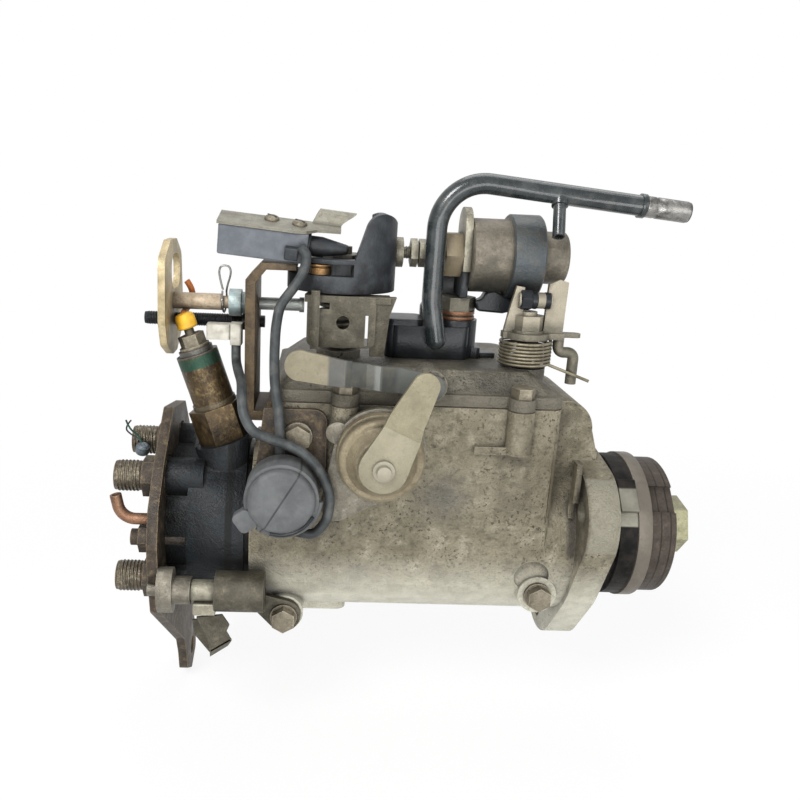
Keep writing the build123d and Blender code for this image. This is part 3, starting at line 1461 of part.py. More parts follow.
# ================================================================ return line
banjo_block_top = 88.0
banjo_boss_top = 90.5
banjo_place = (-62.0, -1.0)
with BuildPart() as banjo_block:
    with BuildSketch(Plane.XY.offset(cover_top)):
        with Locations((-73.5, -1)):
            RectangleRounded(32, 20, 3)
    extrude(amount=banjo_block_top - cover_top)
    with BuildSketch(Plane.XY.offset(cover_top)):
        with Locations((-84, -1)):
            RectangleRounded(15, 18, 3)
    extrude(amount=banjo_boss_top - cover_top)
    with BuildSketch(Plane.XY.offset(cover_top)):
        with Locations((-55.5, -1)):
            RectangleRounded(8, 12, 2)
    extrude(amount=4.5)
    with BuildSketch(Plane.XY.offset(cover_top)):
        with Locations((-51.5, -1)):
            RectangleRounded(14, 6, 1.5)
    extrude(amount=2)
    with BuildSketch(Plane.XY.offset(cover_top)):
        with Locations(banjo_place):
            Circle(8.8)
    extrude(amount=banjo_boss_top - cover_top)
    # web behind the bolt, and the upright that carries the damper's plate
    with BuildSketch(Plane.XZ.offset(-7)):
        with BuildLine():
            Polyline((-76, 80), (-76, 94), (-69.5, 106.5), (-66.5, damper_joint_height),
                     (damper_plate_front, damper_joint_height), (damper_plate_front, 80), close=True)
        make_face()
    extrude(amount=-3.5)
    with BuildSketch(Plane.YZ.offset(damper_plate_front - damper_plate_thickness)):
        with Locations((0.25, damper_joint_height)):
            Rectangle(20.5, 10.5, align=(Align.CENTER, Align.MAX))
    extrude(amount=damper_plate_thickness)
keep(banjo_block, "banjo_block")

banjo_hex = 13.5
with BuildPart() as banjo_bolt:
    with BuildSketch(Plane.XY.offset(banjo_boss_top)):
        with Locations(banjo_place):
            Circle(7.6)
    extrude(amount=1.4)
    with BuildSketch(Plane.XY.offset(banjo_boss_top + 1.4)):
        with Locations(banjo_place):
            Circle(6.4)
    extrude(amount=0.8)
    with BuildSketch(Plane.XY.offset(banjo_boss_top + 2.2)):
        with Locations(banjo_place):
            Circle(7.6)
    extrude(amount=1.4)
    with BuildSketch(Plane.XY.offset(banjo_boss_top + 3.6)):
        with Locations(banjo_place):
            RegularPolygon(hexagon(banjo_hex), 6)
    extrude(amount=5.6)
keep(banjo_bolt, "banjo_bolt")

pipe_radius = 4.0
pipe_tip_radius = 3.9
pipe_bore = 2.8
pipe_y = dashpot_y - 12
pipe_bead = Vector(4.0, pipe_y, dashpot_height + 22.4)
pipe_corner = Vector(-74.3, pipe_y, dashpot_height + 30)
pipe_run = (pipe_bead - pipe_corner).normalized()
pipe_end = pipe_bead + pipe_run * 19.7
branch_radius = 2.4
branch_length = 18.3
branch_foot = pipe_radius + 1.2
branch_foot_radius = branch_radius + 0.8
branch_lean = radians(30)    # towards the control side, clear of the dashpot
branch_root = pipe_corner + pipe_run * 47.0
branch_way = Vector(pipe_run.Z * cos(branch_lean), -sin(branch_lean), -pipe_run.X * cos(branch_lean))
branch_tip = branch_root + branch_way * branch_length
with BuildPart() as return_pipe:
    with BuildLine() as pipe_path:
        cord_path(((-72, -15.4, 83.5), (-74.7, -15.2, 99), tuple(pipe_corner), tuple(pipe_bead)), largest=18)
    with BuildSketch(Plane(origin=pipe_path.line @ 0, z_dir=pipe_path.line % 0)):
        Circle(pipe_radius)
    sweep()
    # rounded elbow into the banjo block
    with Locations((-72, -15.4, 83.5)):
        Sphere(pipe_radius)
    with BuildSketch(Plane.XZ.offset(15.4)):
        with Locations((-72, 83.5)):
            Circle(pipe_radius)
    extrude(amount=-4.4)
    tip_plane = Plane(origin=pipe_bead, z_dir=(pipe_end - pipe_bead).normalized())
    with BuildSketch(tip_plane):
        Circle(pipe_radius + 0.7)
    extrude(amount=2)
    with BuildSketch(tip_plane.offset(2)):
        Circle(pipe_tip_radius)
    extrude(amount=(pipe_end - pipe_bead).length - 2)
    # branch that points down and forwards, from a brazed foot that squares its end
    with BuildSketch(Plane(origin=branch_tip, z_dir=branch_way * -1)):
        Circle(branch_radius)
    extrude(amount=branch_length)
    with BuildSketch(Plane(origin=branch_root, z_dir=branch_way)):
        Circle(branch_foot_radius)
    extrude(amount=branch_foot)
    with BuildSketch(Plane(origin=branch_tip, z_dir=branch_way * -1)):
        Circle(branch_radius - 0.8)
    extrude(amount=10, mode=Mode.SUBTRACT)
    with BuildSketch(Plane(origin=pipe_end, z_dir=(pipe_bead - pipe_end).normalized())):
        Circle(pipe_bore)
    extrude(amount=16, mode=Mode.SUBTRACT)
keep(return_pipe, "return_pipe")

leak_pipe_radius = 2.35
with BuildPart() as leak_pipe:
    with BuildLine() as leak_path:
        FilletPolyline((bracket_rear, -31, 8.8), (-196.5, -31, 8.8), (-198.5, -31, 19), radius=7)
    with BuildSketch(Plane(origin=leak_path.line @ 0, z_dir=leak_path.line % 0)):
        Circle(leak_pipe_radius)
    sweep()
    with BuildSketch(Plane(origin=leak_path.line @ 1, z_dir=-1 * (leak_path.line % 1))):
        Circle(leak_pipe_radius - 0.9)
    extrude(amount=8, mode=Mode.SUBTRACT)
keep(leak_pipe, "leak_pipe")

for piece in pieces:
    export_step(piece, f"parts/{piece.label}.step")
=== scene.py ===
"""Finishes and small fittings of a rotary diesel injection pump.

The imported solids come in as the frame: +X is the drive end, +Z is up and -Y is the side
with the levers. Places and sizes are written in millimetres and turned to metres by mm().
"""
import math

import bpy
from mathutils import Matrix, Vector


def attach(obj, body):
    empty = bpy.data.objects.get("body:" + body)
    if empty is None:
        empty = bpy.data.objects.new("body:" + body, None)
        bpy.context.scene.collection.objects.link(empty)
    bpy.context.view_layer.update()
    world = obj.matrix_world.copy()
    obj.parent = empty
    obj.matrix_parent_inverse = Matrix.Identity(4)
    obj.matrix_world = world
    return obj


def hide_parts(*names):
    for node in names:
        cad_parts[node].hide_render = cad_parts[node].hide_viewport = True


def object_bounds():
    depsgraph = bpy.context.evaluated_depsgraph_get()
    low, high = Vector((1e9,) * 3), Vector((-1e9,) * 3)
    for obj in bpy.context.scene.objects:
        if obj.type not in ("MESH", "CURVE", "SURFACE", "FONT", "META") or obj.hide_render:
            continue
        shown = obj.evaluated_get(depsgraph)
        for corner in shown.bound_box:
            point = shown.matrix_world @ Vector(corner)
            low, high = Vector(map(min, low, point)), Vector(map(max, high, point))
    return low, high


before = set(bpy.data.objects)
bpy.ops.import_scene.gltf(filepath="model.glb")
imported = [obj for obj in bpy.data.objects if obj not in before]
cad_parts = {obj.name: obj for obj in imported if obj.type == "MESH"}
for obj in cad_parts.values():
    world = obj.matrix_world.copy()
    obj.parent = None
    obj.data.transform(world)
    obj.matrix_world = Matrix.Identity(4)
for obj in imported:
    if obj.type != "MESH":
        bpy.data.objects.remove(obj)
cad_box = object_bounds()

X, Y, Z = (1, 0, 0), (0, 1, 0), (0, 0, 1)
FRONTWARD = (0, -1, 0)                           # towards the side with the levers
REARWARD = (-1, 0, 0)                            # away from the drive end
CAN = (-0.32557, 0, 0.94552)                     # along the stop solenoid
CAN_FOOT = Vector(CAN).dot(Vector((-156.5, -10, 38)))
SEAM = (0.8627, 0, -0.5058)                      # across the connector's lid seam
SEAM_PLACE = Vector(SEAM).dot(Vector((-130.9, -65, 31.0)))
SEAM_HALF = 0.35                                 # half of the seam's width


def mm(*values):
    """Millimetres to metres: one number, or a vector of three."""
    if len(values) == 1:
        return values[0] * 0.001
    return Vector(values) * 0.001


def linear(code, alpha=1.0):
    """A colour written as sRGB hex, in Blender's linear light."""
    parts = [int(code[i:i + 2], 16) / 255 for i in (1, 3, 5)]
    return tuple(c / 12.92 if c <= 0.04045 else ((c + 0.055) / 1.055) ** 2.4 for c in parts) + (alpha,)


# ---------------------------------------------------------------- camera
PITCH = math.radians(15.063)                     # looking down
YAW = math.radians(2.143)                        # turned towards the drive end
ROLL = math.radians(2.446)
SENSOR_WIDTH, FOCAL_LENGTH, NEAREST = 36, 35.788, 10
EYE_PLACE = (-120.10, -331.26, 141.53)
forward = Vector((math.sin(YAW) * math.cos(PITCH), math.cos(YAW) * math.cos(PITCH), -math.sin(PITCH)))
level = Vector((math.cos(YAW), -math.sin(YAW), 0))
upright = level.cross(forward)
right = math.cos(ROLL) * level + math.sin(ROLL) * upright
up = -math.sin(ROLL) * level + math.cos(ROLL) * upright
eye = bpy.data.cameras.new("camera")
eye.sensor_width = SENSOR_WIDTH
eye.lens = FOCAL_LENGTH
eye.shift_x = 0.0711
eye.shift_y = 0.0019
eye.clip_start = mm(NEAREST)
camera = bpy.data.objects.new("camera", eye)
facing = Matrix((right, up, -forward)).transposed().to_4x4()
camera.matrix_world = Matrix.Translation(mm(*EYE_PLACE)) @ facing
bpy.context.scene.collection.objects.link(camera)
bpy.context.scene.camera = camera

# ---------------------------------------------------------------- making materials
CORNER_REACH = 8                                 # how far painted shade and dirt spread out of a corner
CORNER_SHADE_START, CORNER_DEEP = 0.85, 0.2            # openness where painted shade and dirt start and where they are thickest
# tone of the painted shade and dirt in corners
CORNER_SHADE_AND_DIRT = "#1d1a16"
EDGE_WEAR_AND_HIGHLIGHT_WIDTH = 0.7                                  # width of a worn edge with its painted highlight
EDGE_WEAR_AND_HIGHLIGHT_START, EDGE_WEAR_AND_HIGHLIGHT_FULL = 0.985, 0.80                # cosine of the lean where the worn edge and its painted highlight start and are full


def add(tree, kind, inputs=None, **settings):
    """Adds a node; inputs maps an input's name or number to a value or to another node's output."""
    node = tree.nodes.new(kind)
    for key, value in settings.items():
        setattr(node, key, value)
    for key, value in (inputs or {}).items():
        if isinstance(value, bpy.types.NodeSocket):
            tree.links.new(value, node.inputs[key])
        else:
            node.inputs[key].default_value = value
    return node


def start_material(name):
    """An empty material: its node tree, its surface shader and the place on the pump."""
    material = bpy.data.materials.new(name)
    material.use_nodes = True
    tree = material.node_tree
    tree.nodes.clear()
    shader = add(tree, "ShaderNodeBsdfPrincipled")
    add(tree, "ShaderNodeOutputMaterial", {"Surface": shader.outputs[0]})
    place = add(tree, "ShaderNodeTexCoord").outputs["Object"]
    return material, tree, shader, place


def stains(tree, place, size, low, high, detail=4.0, strength=1.0):
    """A mask of blotches about size millimetres across, sharper as low and high close up."""
    noise = add(tree, "ShaderNodeTexNoise",
                {"Vector": place, "Scale": 1 / mm(size), "Detail": detail, "Roughness": 0.6})
    return add(tree, "ShaderNodeMapRange", {0: noise.outputs[0], 1: low, 2: high, 3: 0, 4: strength},
               interpolation_type="SMOOTHSTEP").outputs[0]


def band(tree, place, limits, soft):
    """A mask that is 1 inside limits, a list of (direction, low, high) distances in millimetres."""
    mask = 1.0
    for direction, low, high in limits:
        along = add(tree, "ShaderNodeVectorMath", {0: place, 1: direction},
                    operation="DOT_PRODUCT").outputs["Value"]
        rise = add(tree, "ShaderNodeMapRange", {0: along, 1: mm(low - soft), 2: mm(low + soft), 3: 0, 4: mask})
        mask = add(tree, "ShaderNodeMapRange",
                   {0: along, 1: mm(high - soft), 2: mm(high + soft), 3: rise.outputs[0], 4: 0}).outputs[0]
    return mask


def settle(tree, place, colour, rough, shader, height, zones, corner_shade_and_grime, deep):
    """The end of every finish: painted or plated zones, painted shade mixed with soiling in corners, and the relief
    of its grain.

    A zone is (limits, tone, roughness, softness): limits go to band(), softness is in millimetres.
    """
    for limits, tone, zone_rough, soft in zones:
        worn = add(tree, "ShaderNodeMapRange",
                   {0: stains(tree, place, 6, 0.3, 0.7, 5), 3: 0.72, 4: 1.0}).outputs[0]
        mask = add(tree, "ShaderNodeMath", {0: band(tree, place, limits, soft), 1: worn},
                   operation="MULTIPLY").outputs[0]
        colour = add(tree, "ShaderNodeMix", {0: mask, 6: colour, 7: linear(tone)}, data_type="RGBA").outputs[2]
        rough = add(tree, "ShaderNodeMix", {0: mask, 2: rough, 3: zone_rough}).outputs[0]
    # painted shade and dirt in corners: ambient occlusion darkens the colour where surfaces crowd close
    corner = add(tree, "ShaderNodeAmbientOcclusion", {"Distance": mm(CORNER_REACH)}, samples=6)
    corner_shade_and_dirt = add(tree, "ShaderNodeMapRange",
               {0: corner.outputs["AO"], 1: CORNER_SHADE_START, 2: CORNER_DEEP, 3: 0, 4: corner_shade_and_grime}).outputs[0]
    colour = add(tree, "ShaderNodeMix", {0: corner_shade_and_dirt, 6: colour, 7: linear(CORNER_SHADE_AND_DIRT)}, data_type="RGBA").outputs[2]
    relief = add(tree, "ShaderNodeBump", {"Height": height, "Strength": 0.7, "Distance": mm(deep)})
    tree.links.new(colour, shader.inputs["Base Color"])
    tree.links.new(rough, shader.inputs["Roughness"])
    tree.links.new(relief.outputs[0], shader.inputs["Normal"])


def worn_metal(name, dark, mid, light, stain, metallic, roughness, stained=0.5, patch=14, grain=0.9, bump=0.12,
               edge=0.35, corner_shade_and_grime=0.75, pitted=0.4, gloss=0.5, zones=()):
    """A used metal surface: tones in patches, an oily film, fine grain, dark pits, painted shade with soiling in
    corners, worn edges with a painted highlight.

    patch and grain are the widths of its blotches and grains, and bump its relief, in millimetres.
    stained, edge and pitted are the strengths of film, of worn edges with a painted highlight and of pits; the corner
    strength is that of painted shade with soiling in corners.
    """
    material, tree, shader, place = start_material(name)
    fine = stains(tree, place, grain, 0.3, 0.7, 3)
    coarse = stains(tree, place, grain * 5, 0.3, 0.7)
    oil = stains(tree, place, patch * 1.7, 0.46, 0.74, 5, stained)
    pits = stains(tree, place, grain * 1.5, 0.585, 0.66, 2, pitted)
    scattered = add(tree, "ShaderNodeMath", {0: pits, 1: stains(tree, place, patch * 0.7, 0.34, 0.6, 3)},
                    operation="MULTIPLY")
    colour = add(tree, "ShaderNodeMix",
                 {0: stains(tree, place, patch, 0.25, 0.6, 5), 6: linear(dark), 7: linear(mid)},
                 data_type="RGBA").outputs[2]
    for mask, tone in ((stains(tree, place, patch * 0.4, 0.46, 0.86, 6, 0.75), light), (oil, stain),
                       (stains(tree, place, grain * 4, 0.47, 0.72, 5, 0.6 * pitted), stain),
                       (stains(tree, place, grain, 0.35, 0.75, 3, 0.4), dark), (scattered.outputs[0], stain)):
        colour = add(tree, "ShaderNodeMix", {0: mask, 6: colour, 7: linear(tone)}, data_type="RGBA").outputs[2]
    # bare metal where edges are worn, and a painted highlight along them: the rounded normal leans away from the
    # face's own
    rounded = add(tree, "ShaderNodeBevel", {"Radius": mm(EDGE_WEAR_AND_HIGHLIGHT_WIDTH)}, samples=4)
    own = add(tree, "ShaderNodeNewGeometry")
    lean = add(tree, "ShaderNodeVectorMath", {0: rounded.outputs[0], 1: own.outputs["Normal"]},
               operation="DOT_PRODUCT")
    worn_and_highlit_edge = add(tree, "ShaderNodeMapRange",
                 {0: lean.outputs["Value"], 1: EDGE_WEAR_AND_HIGHLIGHT_START, 2: EDGE_WEAR_AND_HIGHLIGHT_FULL, 3: 0, 4: edge}).outputs[0]
    colour = add(tree, "ShaderNodeMix", {0: worn_and_highlit_edge, 6: colour, 7: linear(light)}, data_type="RGBA").outputs[2]
    rough = add(tree, "ShaderNodeMapRange",
                {0: oil, 3: roughness + 0.08, 4: max(roughness - 0.2, 0.12)}).outputs[0]
    height = add(tree, "ShaderNodeMath", {0: fine, 1: coarse}, operation="ADD").outputs[0]
    height = add(tree, "ShaderNodeMath", {0: height, 1: pits}, operation="SUBTRACT").outputs[0]
    settle(tree, place, colour, rough, shader, height, zones, corner_shade_and_grime, bump)
    shader.inputs["Metallic"].default_value = metallic
    shader.inputs["Specular IOR Level"].default_value = gloss
    return material


def moulded(name, tone, pale, dust, roughness, bump=0.05, coat=0.0, dusty=0.5, zones=()):
    """Moulded plastic, rubber or paint: an even tone, greyed in patches, with dust lying on it."""
    material, tree, shader, place = start_material(name)
    colour = linear(tone)
    film = stains(tree, place, 5, 0.42, 0.7, 6, dusty)
    for mask, next_tone in ((stains(tree, place, 11, 0.4, 0.65), pale), (film, dust)):
        colour = add(tree, "ShaderNodeMix", {0: mask, 6: colour, 7: linear(next_tone)},
                     data_type="RGBA").outputs[2]
    rough = add(tree, "ShaderNodeMapRange", {0: film, 3: roughness, 4: min(roughness + 0.2, 0.9)}).outputs[0]
    settle(tree, place, colour, rough, shader, stains(tree, place, 0.8, 0.3, 0.7, 2), zones, 0.5, bump)
    shader.inputs["Coat Weight"].default_value = coat
    shader.inputs["Specular IOR Level"].default_value = 0.3
    return material


# ---------------------------------------------------------------- finishes
# Sand-cast aluminium left rough: chalky beige skin with brown oil stains and dark pits, paler underneath as painted
# light from below, grey and machined at the flange pad, dark in the groove behind it
casting = worn_metal(
    "sand_cast_aluminium", "#575140", "#7a7360", "#aaa38f", "#352e22", metallic=0.15, roughness=0.55,
    stained=0.75, patch=17, grain=0.8, bump=0.3, edge=0.5, corner_shade_and_grime=0.9, pitted=1.0,
    # paler towards the bottom: painted light from below
    zones=(([(Z, -60, -12)], "#bab7a8", 0.5, 12),
           ([(X, -12, 1), (Y, -60, -36), (Z, 7, 34)], "#777364", 0.4, 0.4),
           ([(X, -16, -12.2), (Y, -60, -30), (Z, 0, 44)], "#3a352b", 0.6, 1),
           ([(X, -76, -60), (Y, -60, -20), (Z, 17, 33)], "#504d45", 0.35, 7),
           ([(X, -30, -17), (Y, -60, -20), (Z, 20, 52)], "#4f4736", 0.4, 8)))
# The same alloy under the fuel fittings, where oil has baked on dark, with a milled joint face
cover_casting = worn_metal(
    "cast_aluminium_oil_baked", "#403c32", "#6b6659", "#99937f", "#221f19", metallic=0.2, roughness=0.48,
    stained=0.75, patch=16, grain=0.8, bump=0.3, edge=0.6, corner_shade_and_grime=0.9, pitted=1.0,
    zones=(([(Z, 62, 67.4)], "#5a5549", 0.6, 0.4),))
# Forged steel head, chemically blacked, wet with fuel: nearly black with a blue sheen
head_steel = worn_metal(
    "blacked_forged_steel", "#101315", "#171b1e", "#2a3136", "#0b0b0b", metallic=0.4, roughness=0.38,
    stained=0.6, patch=16, grain=0.8, gloss=0.35,
    zones=(([(X, -154.6, -151.6)], "#0b0b0b", 0.6, 0.3),))
# Flame-cut steel plate with a dry brown rust bloom, tan edges that are rubbed and carry a painted rim highlight
rust_steel = worn_metal(
    "steel_plate_rusted", "#27211b", "#40362b", "#94805f", "#191511", metallic=0.35, roughness=0.5,
    stained=0.6, patch=9, grain=0.7, bump=0.14, edge=0.7)
# Pressed steel bracket: warmer orange-brown rust, still a little shiny
bracket_steel = worn_metal(
    "pressed_bracket_rusted", "#2f261c", "#584832", "#85704c", "#1b160f", metallic=0.4, roughness=0.5,
    stained=0.6, patch=7, grain=0.7, edge=0.8)
# Machined steel gone dull: mid grey with a soft metallic glint
bare_steel = worn_metal(
    "machined_steel_dull", "#59544a", "#7b766a", "#a8a396", "#39342c", metallic=0.7, roughness=0.46, patch=8,
    grain=0.6, bump=0.08)
# Turned hub: black behind the disc, oil with painted shade, a bright rubbed disc, brown front drum with two tool
# grooves
hub_steel = worn_metal(
    "turned_hub_steel", "#3b342f", "#4a433d", "#625b53", "#2a241f", metallic=0.4, roughness=0.5, patch=8,
    grain=0.6, bump=0.06, gloss=0.15,
    # black zone behind the disc: oil-black with painted shade between flange and disc
    zones=(([(X, 8, 16.1)], "#0b0b0b", 0.5, 0.2),
           ([(X, 8, 16.1), (Y, -33, -15), (Z, 10.5, 24.5)], "#7d7b6f", 0.45, 0.3),
           ([(X, 16.1, 22)], "#69635a", 0.42, 0.2),
           ([(X, 26.2, 26.8)], "#2b2622", 0.5, 0.1),
           ([(X, 30.2, 30.8)], "#2b2622", 0.5, 0.1)))
# Pressed steel soaked in oil: dark olive grey with pale scuffs
lever_steel = worn_metal(
    "pressed_steel_oil_stained", "#38342a", "#504c40", "#7a7361", "#231f18", metallic=0.5, roughness=0.5,
    patch=9, grain=0.7, bump=0.1)
# Zinc-plated lever gone dull, paler along the upright bars
idle_steel = worn_metal(
    "zinc_plated_lever_dulled", "#535043", "#6d685b", "#8b8576", "#38332a", metallic=0.5, roughness=0.48,
    patch=6, grain=0.6, bump=0.07,
    zones=(([(Z, 92.5, 112)], "#8b8474", 0.48, 1.5),))
# Worn zinc plating: light warm grey with dirty hollows
pale_zinc = worn_metal(
    "zinc_plated_worn", "#716e60", "#918c7c", "#b1ae9e", "#4a4338", metallic=0.55, roughness=0.42,
    stained=0.4, patch=7, grain=0.6, bump=0.07)
# Flat zinc-plated lever: smooth khaki grey, its pivot paler
lever_zinc = worn_metal(
    "zinc_plated_lever", "#6e6854", "#817b65", "#918a74", "#514a38", metallic=0.35, roughness=0.5,
    stained=0.3, patch=9, grain=0.6, bump=0.05,
    zones=(([(Y, -72.5, -68.1)], "#8b8677", 0.6, 0.25),))
# Yellow-passivated nut: pale straw green
yellow_zinc = worn_metal(
    "yellow_passivated_zinc", "#747157", "#959275", "#acaa8e", "#49422e", metallic=0.5, roughness=0.4,
    stained=0.45, patch=7, grain=0.6, bump=0.07)
# Cable bracket's plating: creamy straw with brown stains
cable_zinc = worn_metal(
    "cable_bracket_plate", "#8a7d5e", "#b9a986", "#d3c7a5", "#5e4f31", metallic=0.45, roughness=0.45,
    stained=0.55, patch=8, grain=0.6, bump=0.07)
# Screws and terminals: grey-brown steel, bright on the rubbed corners
screw_steel = worn_metal(
    "housing_screw_steel", "#575144", "#7a7262", "#a29a87", "#38332a", metallic=0.5, roughness=0.46, patch=5,
    grain=0.6, bump=0.07, edge=0.7)
# Solenoid can: tinned brass gone brown with fuel, a green seal near the top, pale rims above it
solenoid_brass = worn_metal(
    "tinned_brass_stained", "#2b2216", "#4e3f29", "#97825a", "#150f0a", metallic=0.65, roughness=0.34,
    stained=0.7, patch=6, grain=0.7, bump=0.08,
    zones=(([(CAN, CAN_FOOT + 32.4, CAN_FOOT + 37.2)], "#1f3e31", 0.5, 0.3),
           ([(CAN, CAN_FOOT + 37.6, CAN_FOOT + 41.4)], "#575652", 0.4, 0.2),
           ([(CAN, CAN_FOOT + 15, CAN_FOOT + 17.2)], "#564d3c", 0.4, 0.2)))
# Tarnished copper pipe: dull red-brown
copper = worn_metal(
    "copper_tarnished", "#5a4636", "#84614b", "#b08f78", "#2f2620", metallic=0.7, roughness=0.42, patch=6,
    grain=0.6, bump=0.05)
# Banjo bolt: grey-green steel over two copper washers
banjo_steel = worn_metal(
    "banjo_bolt_steel", "#4e4b3f", "#625e51", "#7a776a", "#322e25", metallic=0.5, roughness=0.48, patch=6,
    grain=0.6, bump=0.07,
    zones=(([(Z, 90.5, 91.9)], "#724a2f", 0.4, 0.15),
           ([(Z, 92.7, 94.1)], "#724a2f", 0.4, 0.15)))
# Stop lever: cream paint on the grip, a bare grey band, then a stained grey strip
stop_enamel = worn_metal(
    "cream_enamel_on_steel", "#66604c", "#766e5a", "#847d69", "#4c4634", metallic=0.1, roughness=0.5,
    stained=0.3, patch=9, grain=0.7, bump=0.05,
    zones=(([(X, -115.5, -109.5)], "#3c3c39", 0.45, 0.5),
           ([(X, -109.5, -60)], "#343736", 0.45, 0.5),
           ([(X, -98.5, -96)], "#636561", 0.4, 0.5),
           ([(X, -90, -80)], "#4f514d", 0.45, 1)))
# Die-cast cable ferrule: pinkish tan, with a blue-grey collar and a bright neck
ferrule_alloy = worn_metal(
    "die_cast_ferrule", "#8d7e68", "#b0a08b", "#d5c7ae", "#615543", metallic=0.45, roughness=0.5, patch=6,
    grain=0.7, bump=0.08,
    zones=(([(X, -156.3, -148.2)], "#8da1a4", 0.4, 0.3),
           ([(X, -144, -120)], "#a5aba8", 0.38, 0.3)))
# Dashpot's alloy: brown grey, darker on its lower half, a blue-black rubber ring and a paler nut
dashpot_alloy = worn_metal(
    "dashpot_alloy_stained", "#49453b", "#6e675b", "#8c8272", "#312d24", metallic=0.4, roughness=0.5,
    stained=0.7, patch=10, grain=0.8, bump=0.08,
    zones=(([(X, -60, -31), (Z, 96, 109)], "#3a3a36", 0.35, 4),
           ([(X, -44, -31)], "#363c3f", 0.38, 0.3),
           ([(X, -69.6, -62.5)], "#837761", 0.45, 0.2)))
# Advance cap's alloy: warm tan with a darker rim
cap_alloy = worn_metal(
    "advance_cap_alloy", "#645a46", "#817760", "#968c76", "#473d2d", metallic=0.4, roughness=0.5,
    stained=0.6, patch=9, grain=0.7, bump=0.08,
    zones=(([(Y, -49.6, -47)], "#695e4a", 0.5, 0.2),))
# Oil-tempered spring wire: grey with thin bright highlights
spring_steel = worn_metal(
    "oil_tempered_spring_wire", "#5c5442", "#837c69", "#b9b19b", "#3a3529", metallic=0.6, roughness=0.4,
    patch=5, grain=0.5, bump=0.04)
# Nickel plating on the pipe's tip: mirror-like, with dark and bright patches painted in as reflections
bright_plate = worn_metal(
    "nickel_plated_tip", "#4a4845", "#8f8d89", "#e2e0dc", "#2a2826", metallic=0.9, roughness=0.24, patch=5,
    grain=0.5, bump=0.04)
# Black enamel and rubber fittings: deep black with a blue tinge
black_enamel = moulded("black_enamel", "#0c1014", "#15191d", "#2c2e31", roughness=0.34, dusty=0.25)
# Enamelled pipe: glossy black with a clear highlight and scuffs
pipe_enamel = moulded(
    "black_enamel_pipe", "#161c1e", "#23292b", "#515250", roughness=0.26, coat=0.45, dusty=0.35)
# Black nylon quadrant: satin charcoal with grey dust
black_nylon = moulded("black_nylon", "#1a1d20", "#282b2f", "#45484a", roughness=0.46, bump=0.06, dusty=0.4)
# Grey plastic connector: flat mid grey with a dark seam across its lid
grey_abs = moulded(
    "grey_moulded_cap", "#454647", "#515354", "#656564", roughness=0.48, bump=0.06, dusty=0.35,
    zones=(([(SEAM, SEAM_PLACE - SEAM_HALF, SEAM_PLACE + SEAM_HALF)], "#212223", 0.5, 0.12),))
# Microswitch body: blue-grey phenolic, slightly glossy
switch_grey = moulded("grey_phenolic", "#53575d", "#5e6268", "#727577", roughness=0.42, coat=0.1, dusty=0.35)
# White nylon terminal block, soiled to a warm grey
white_nylon = moulded(
    "white_nylon_soiled", "#a39f93", "#bdb9ad", "#6f6a5e", roughness=0.5, bump=0.04, dusty=0.6)
# Rubber of the leads: dark grey, dusted
lead_rubber = moulded("rubber_lead", "#2a2d2e", "#3b3e3f", "#5f605d", roughness=0.5, bump=0.04, dusty=0.4)
# Fibre gasket: matt dark brown
gasket_fibre = moulded("gasket_fibre", "#2c2620", "#3d352c", "#5c5346", roughness=0.85, bump=0.08)
# Yellow plastic sleeve over the solenoid's terminal: the one strong colour
yellow_sleeve = moulded("yellow_pvc_sleeve", "#d09a1c", "#dfae35", "#8d7439", roughness=0.42, bump=0.03)
# Orange insulated wire end
orange_wire = moulded(
    "orange_pvc_wire", "#a8581f", "#bc6c30", "#7a5636", roughness=0.45, bump=0.03, dusty=0.4)
# Green seal wire
green_wire = moulded("green_pvc_wire", "#234236", "#2f5546", "#3c4a42", roughness=0.45, bump=0.03, dusty=0.3)
# Union threads: brown roots, crests bright with wear and a painted highlight
rust_bright = worn_metal(
    "union_thread_steel", "#3a332a", "#5b5244", "#bdb5a0", "#1a1712", metallic=0.7, roughness=0.34, patch=4,
    grain=0.5, bump=0.05, edge=0.7)
# Brass cable nipple: warm yellow-brown
nipple_brass = worn_metal(
    "cable_nipple_brass", "#6e5230", "#9a7446", "#c09a66", "#3c2d1c", metallic=0.6, roughness=0.42, patch=4,
    grain=0.5, bump=0.05)
# Tinned plate on the microswitch: light grey with brown stains
switch_tin = worn_metal(
    "tinned_plate_stained", "#646258", "#817f72", "#949083", "#51402e", metallic=0.4, roughness=0.45,
    patch=7, grain=0.6, bump=0.05)
# Lead seal: soft blue grey
seal_lead = worn_metal(
    "lead_seal", "#4c5459", "#6b747a", "#8f979b", "#33393d", metallic=0.7, roughness=0.55, stained=0.4,
    patch=3, grain=0.4, bump=0.08)

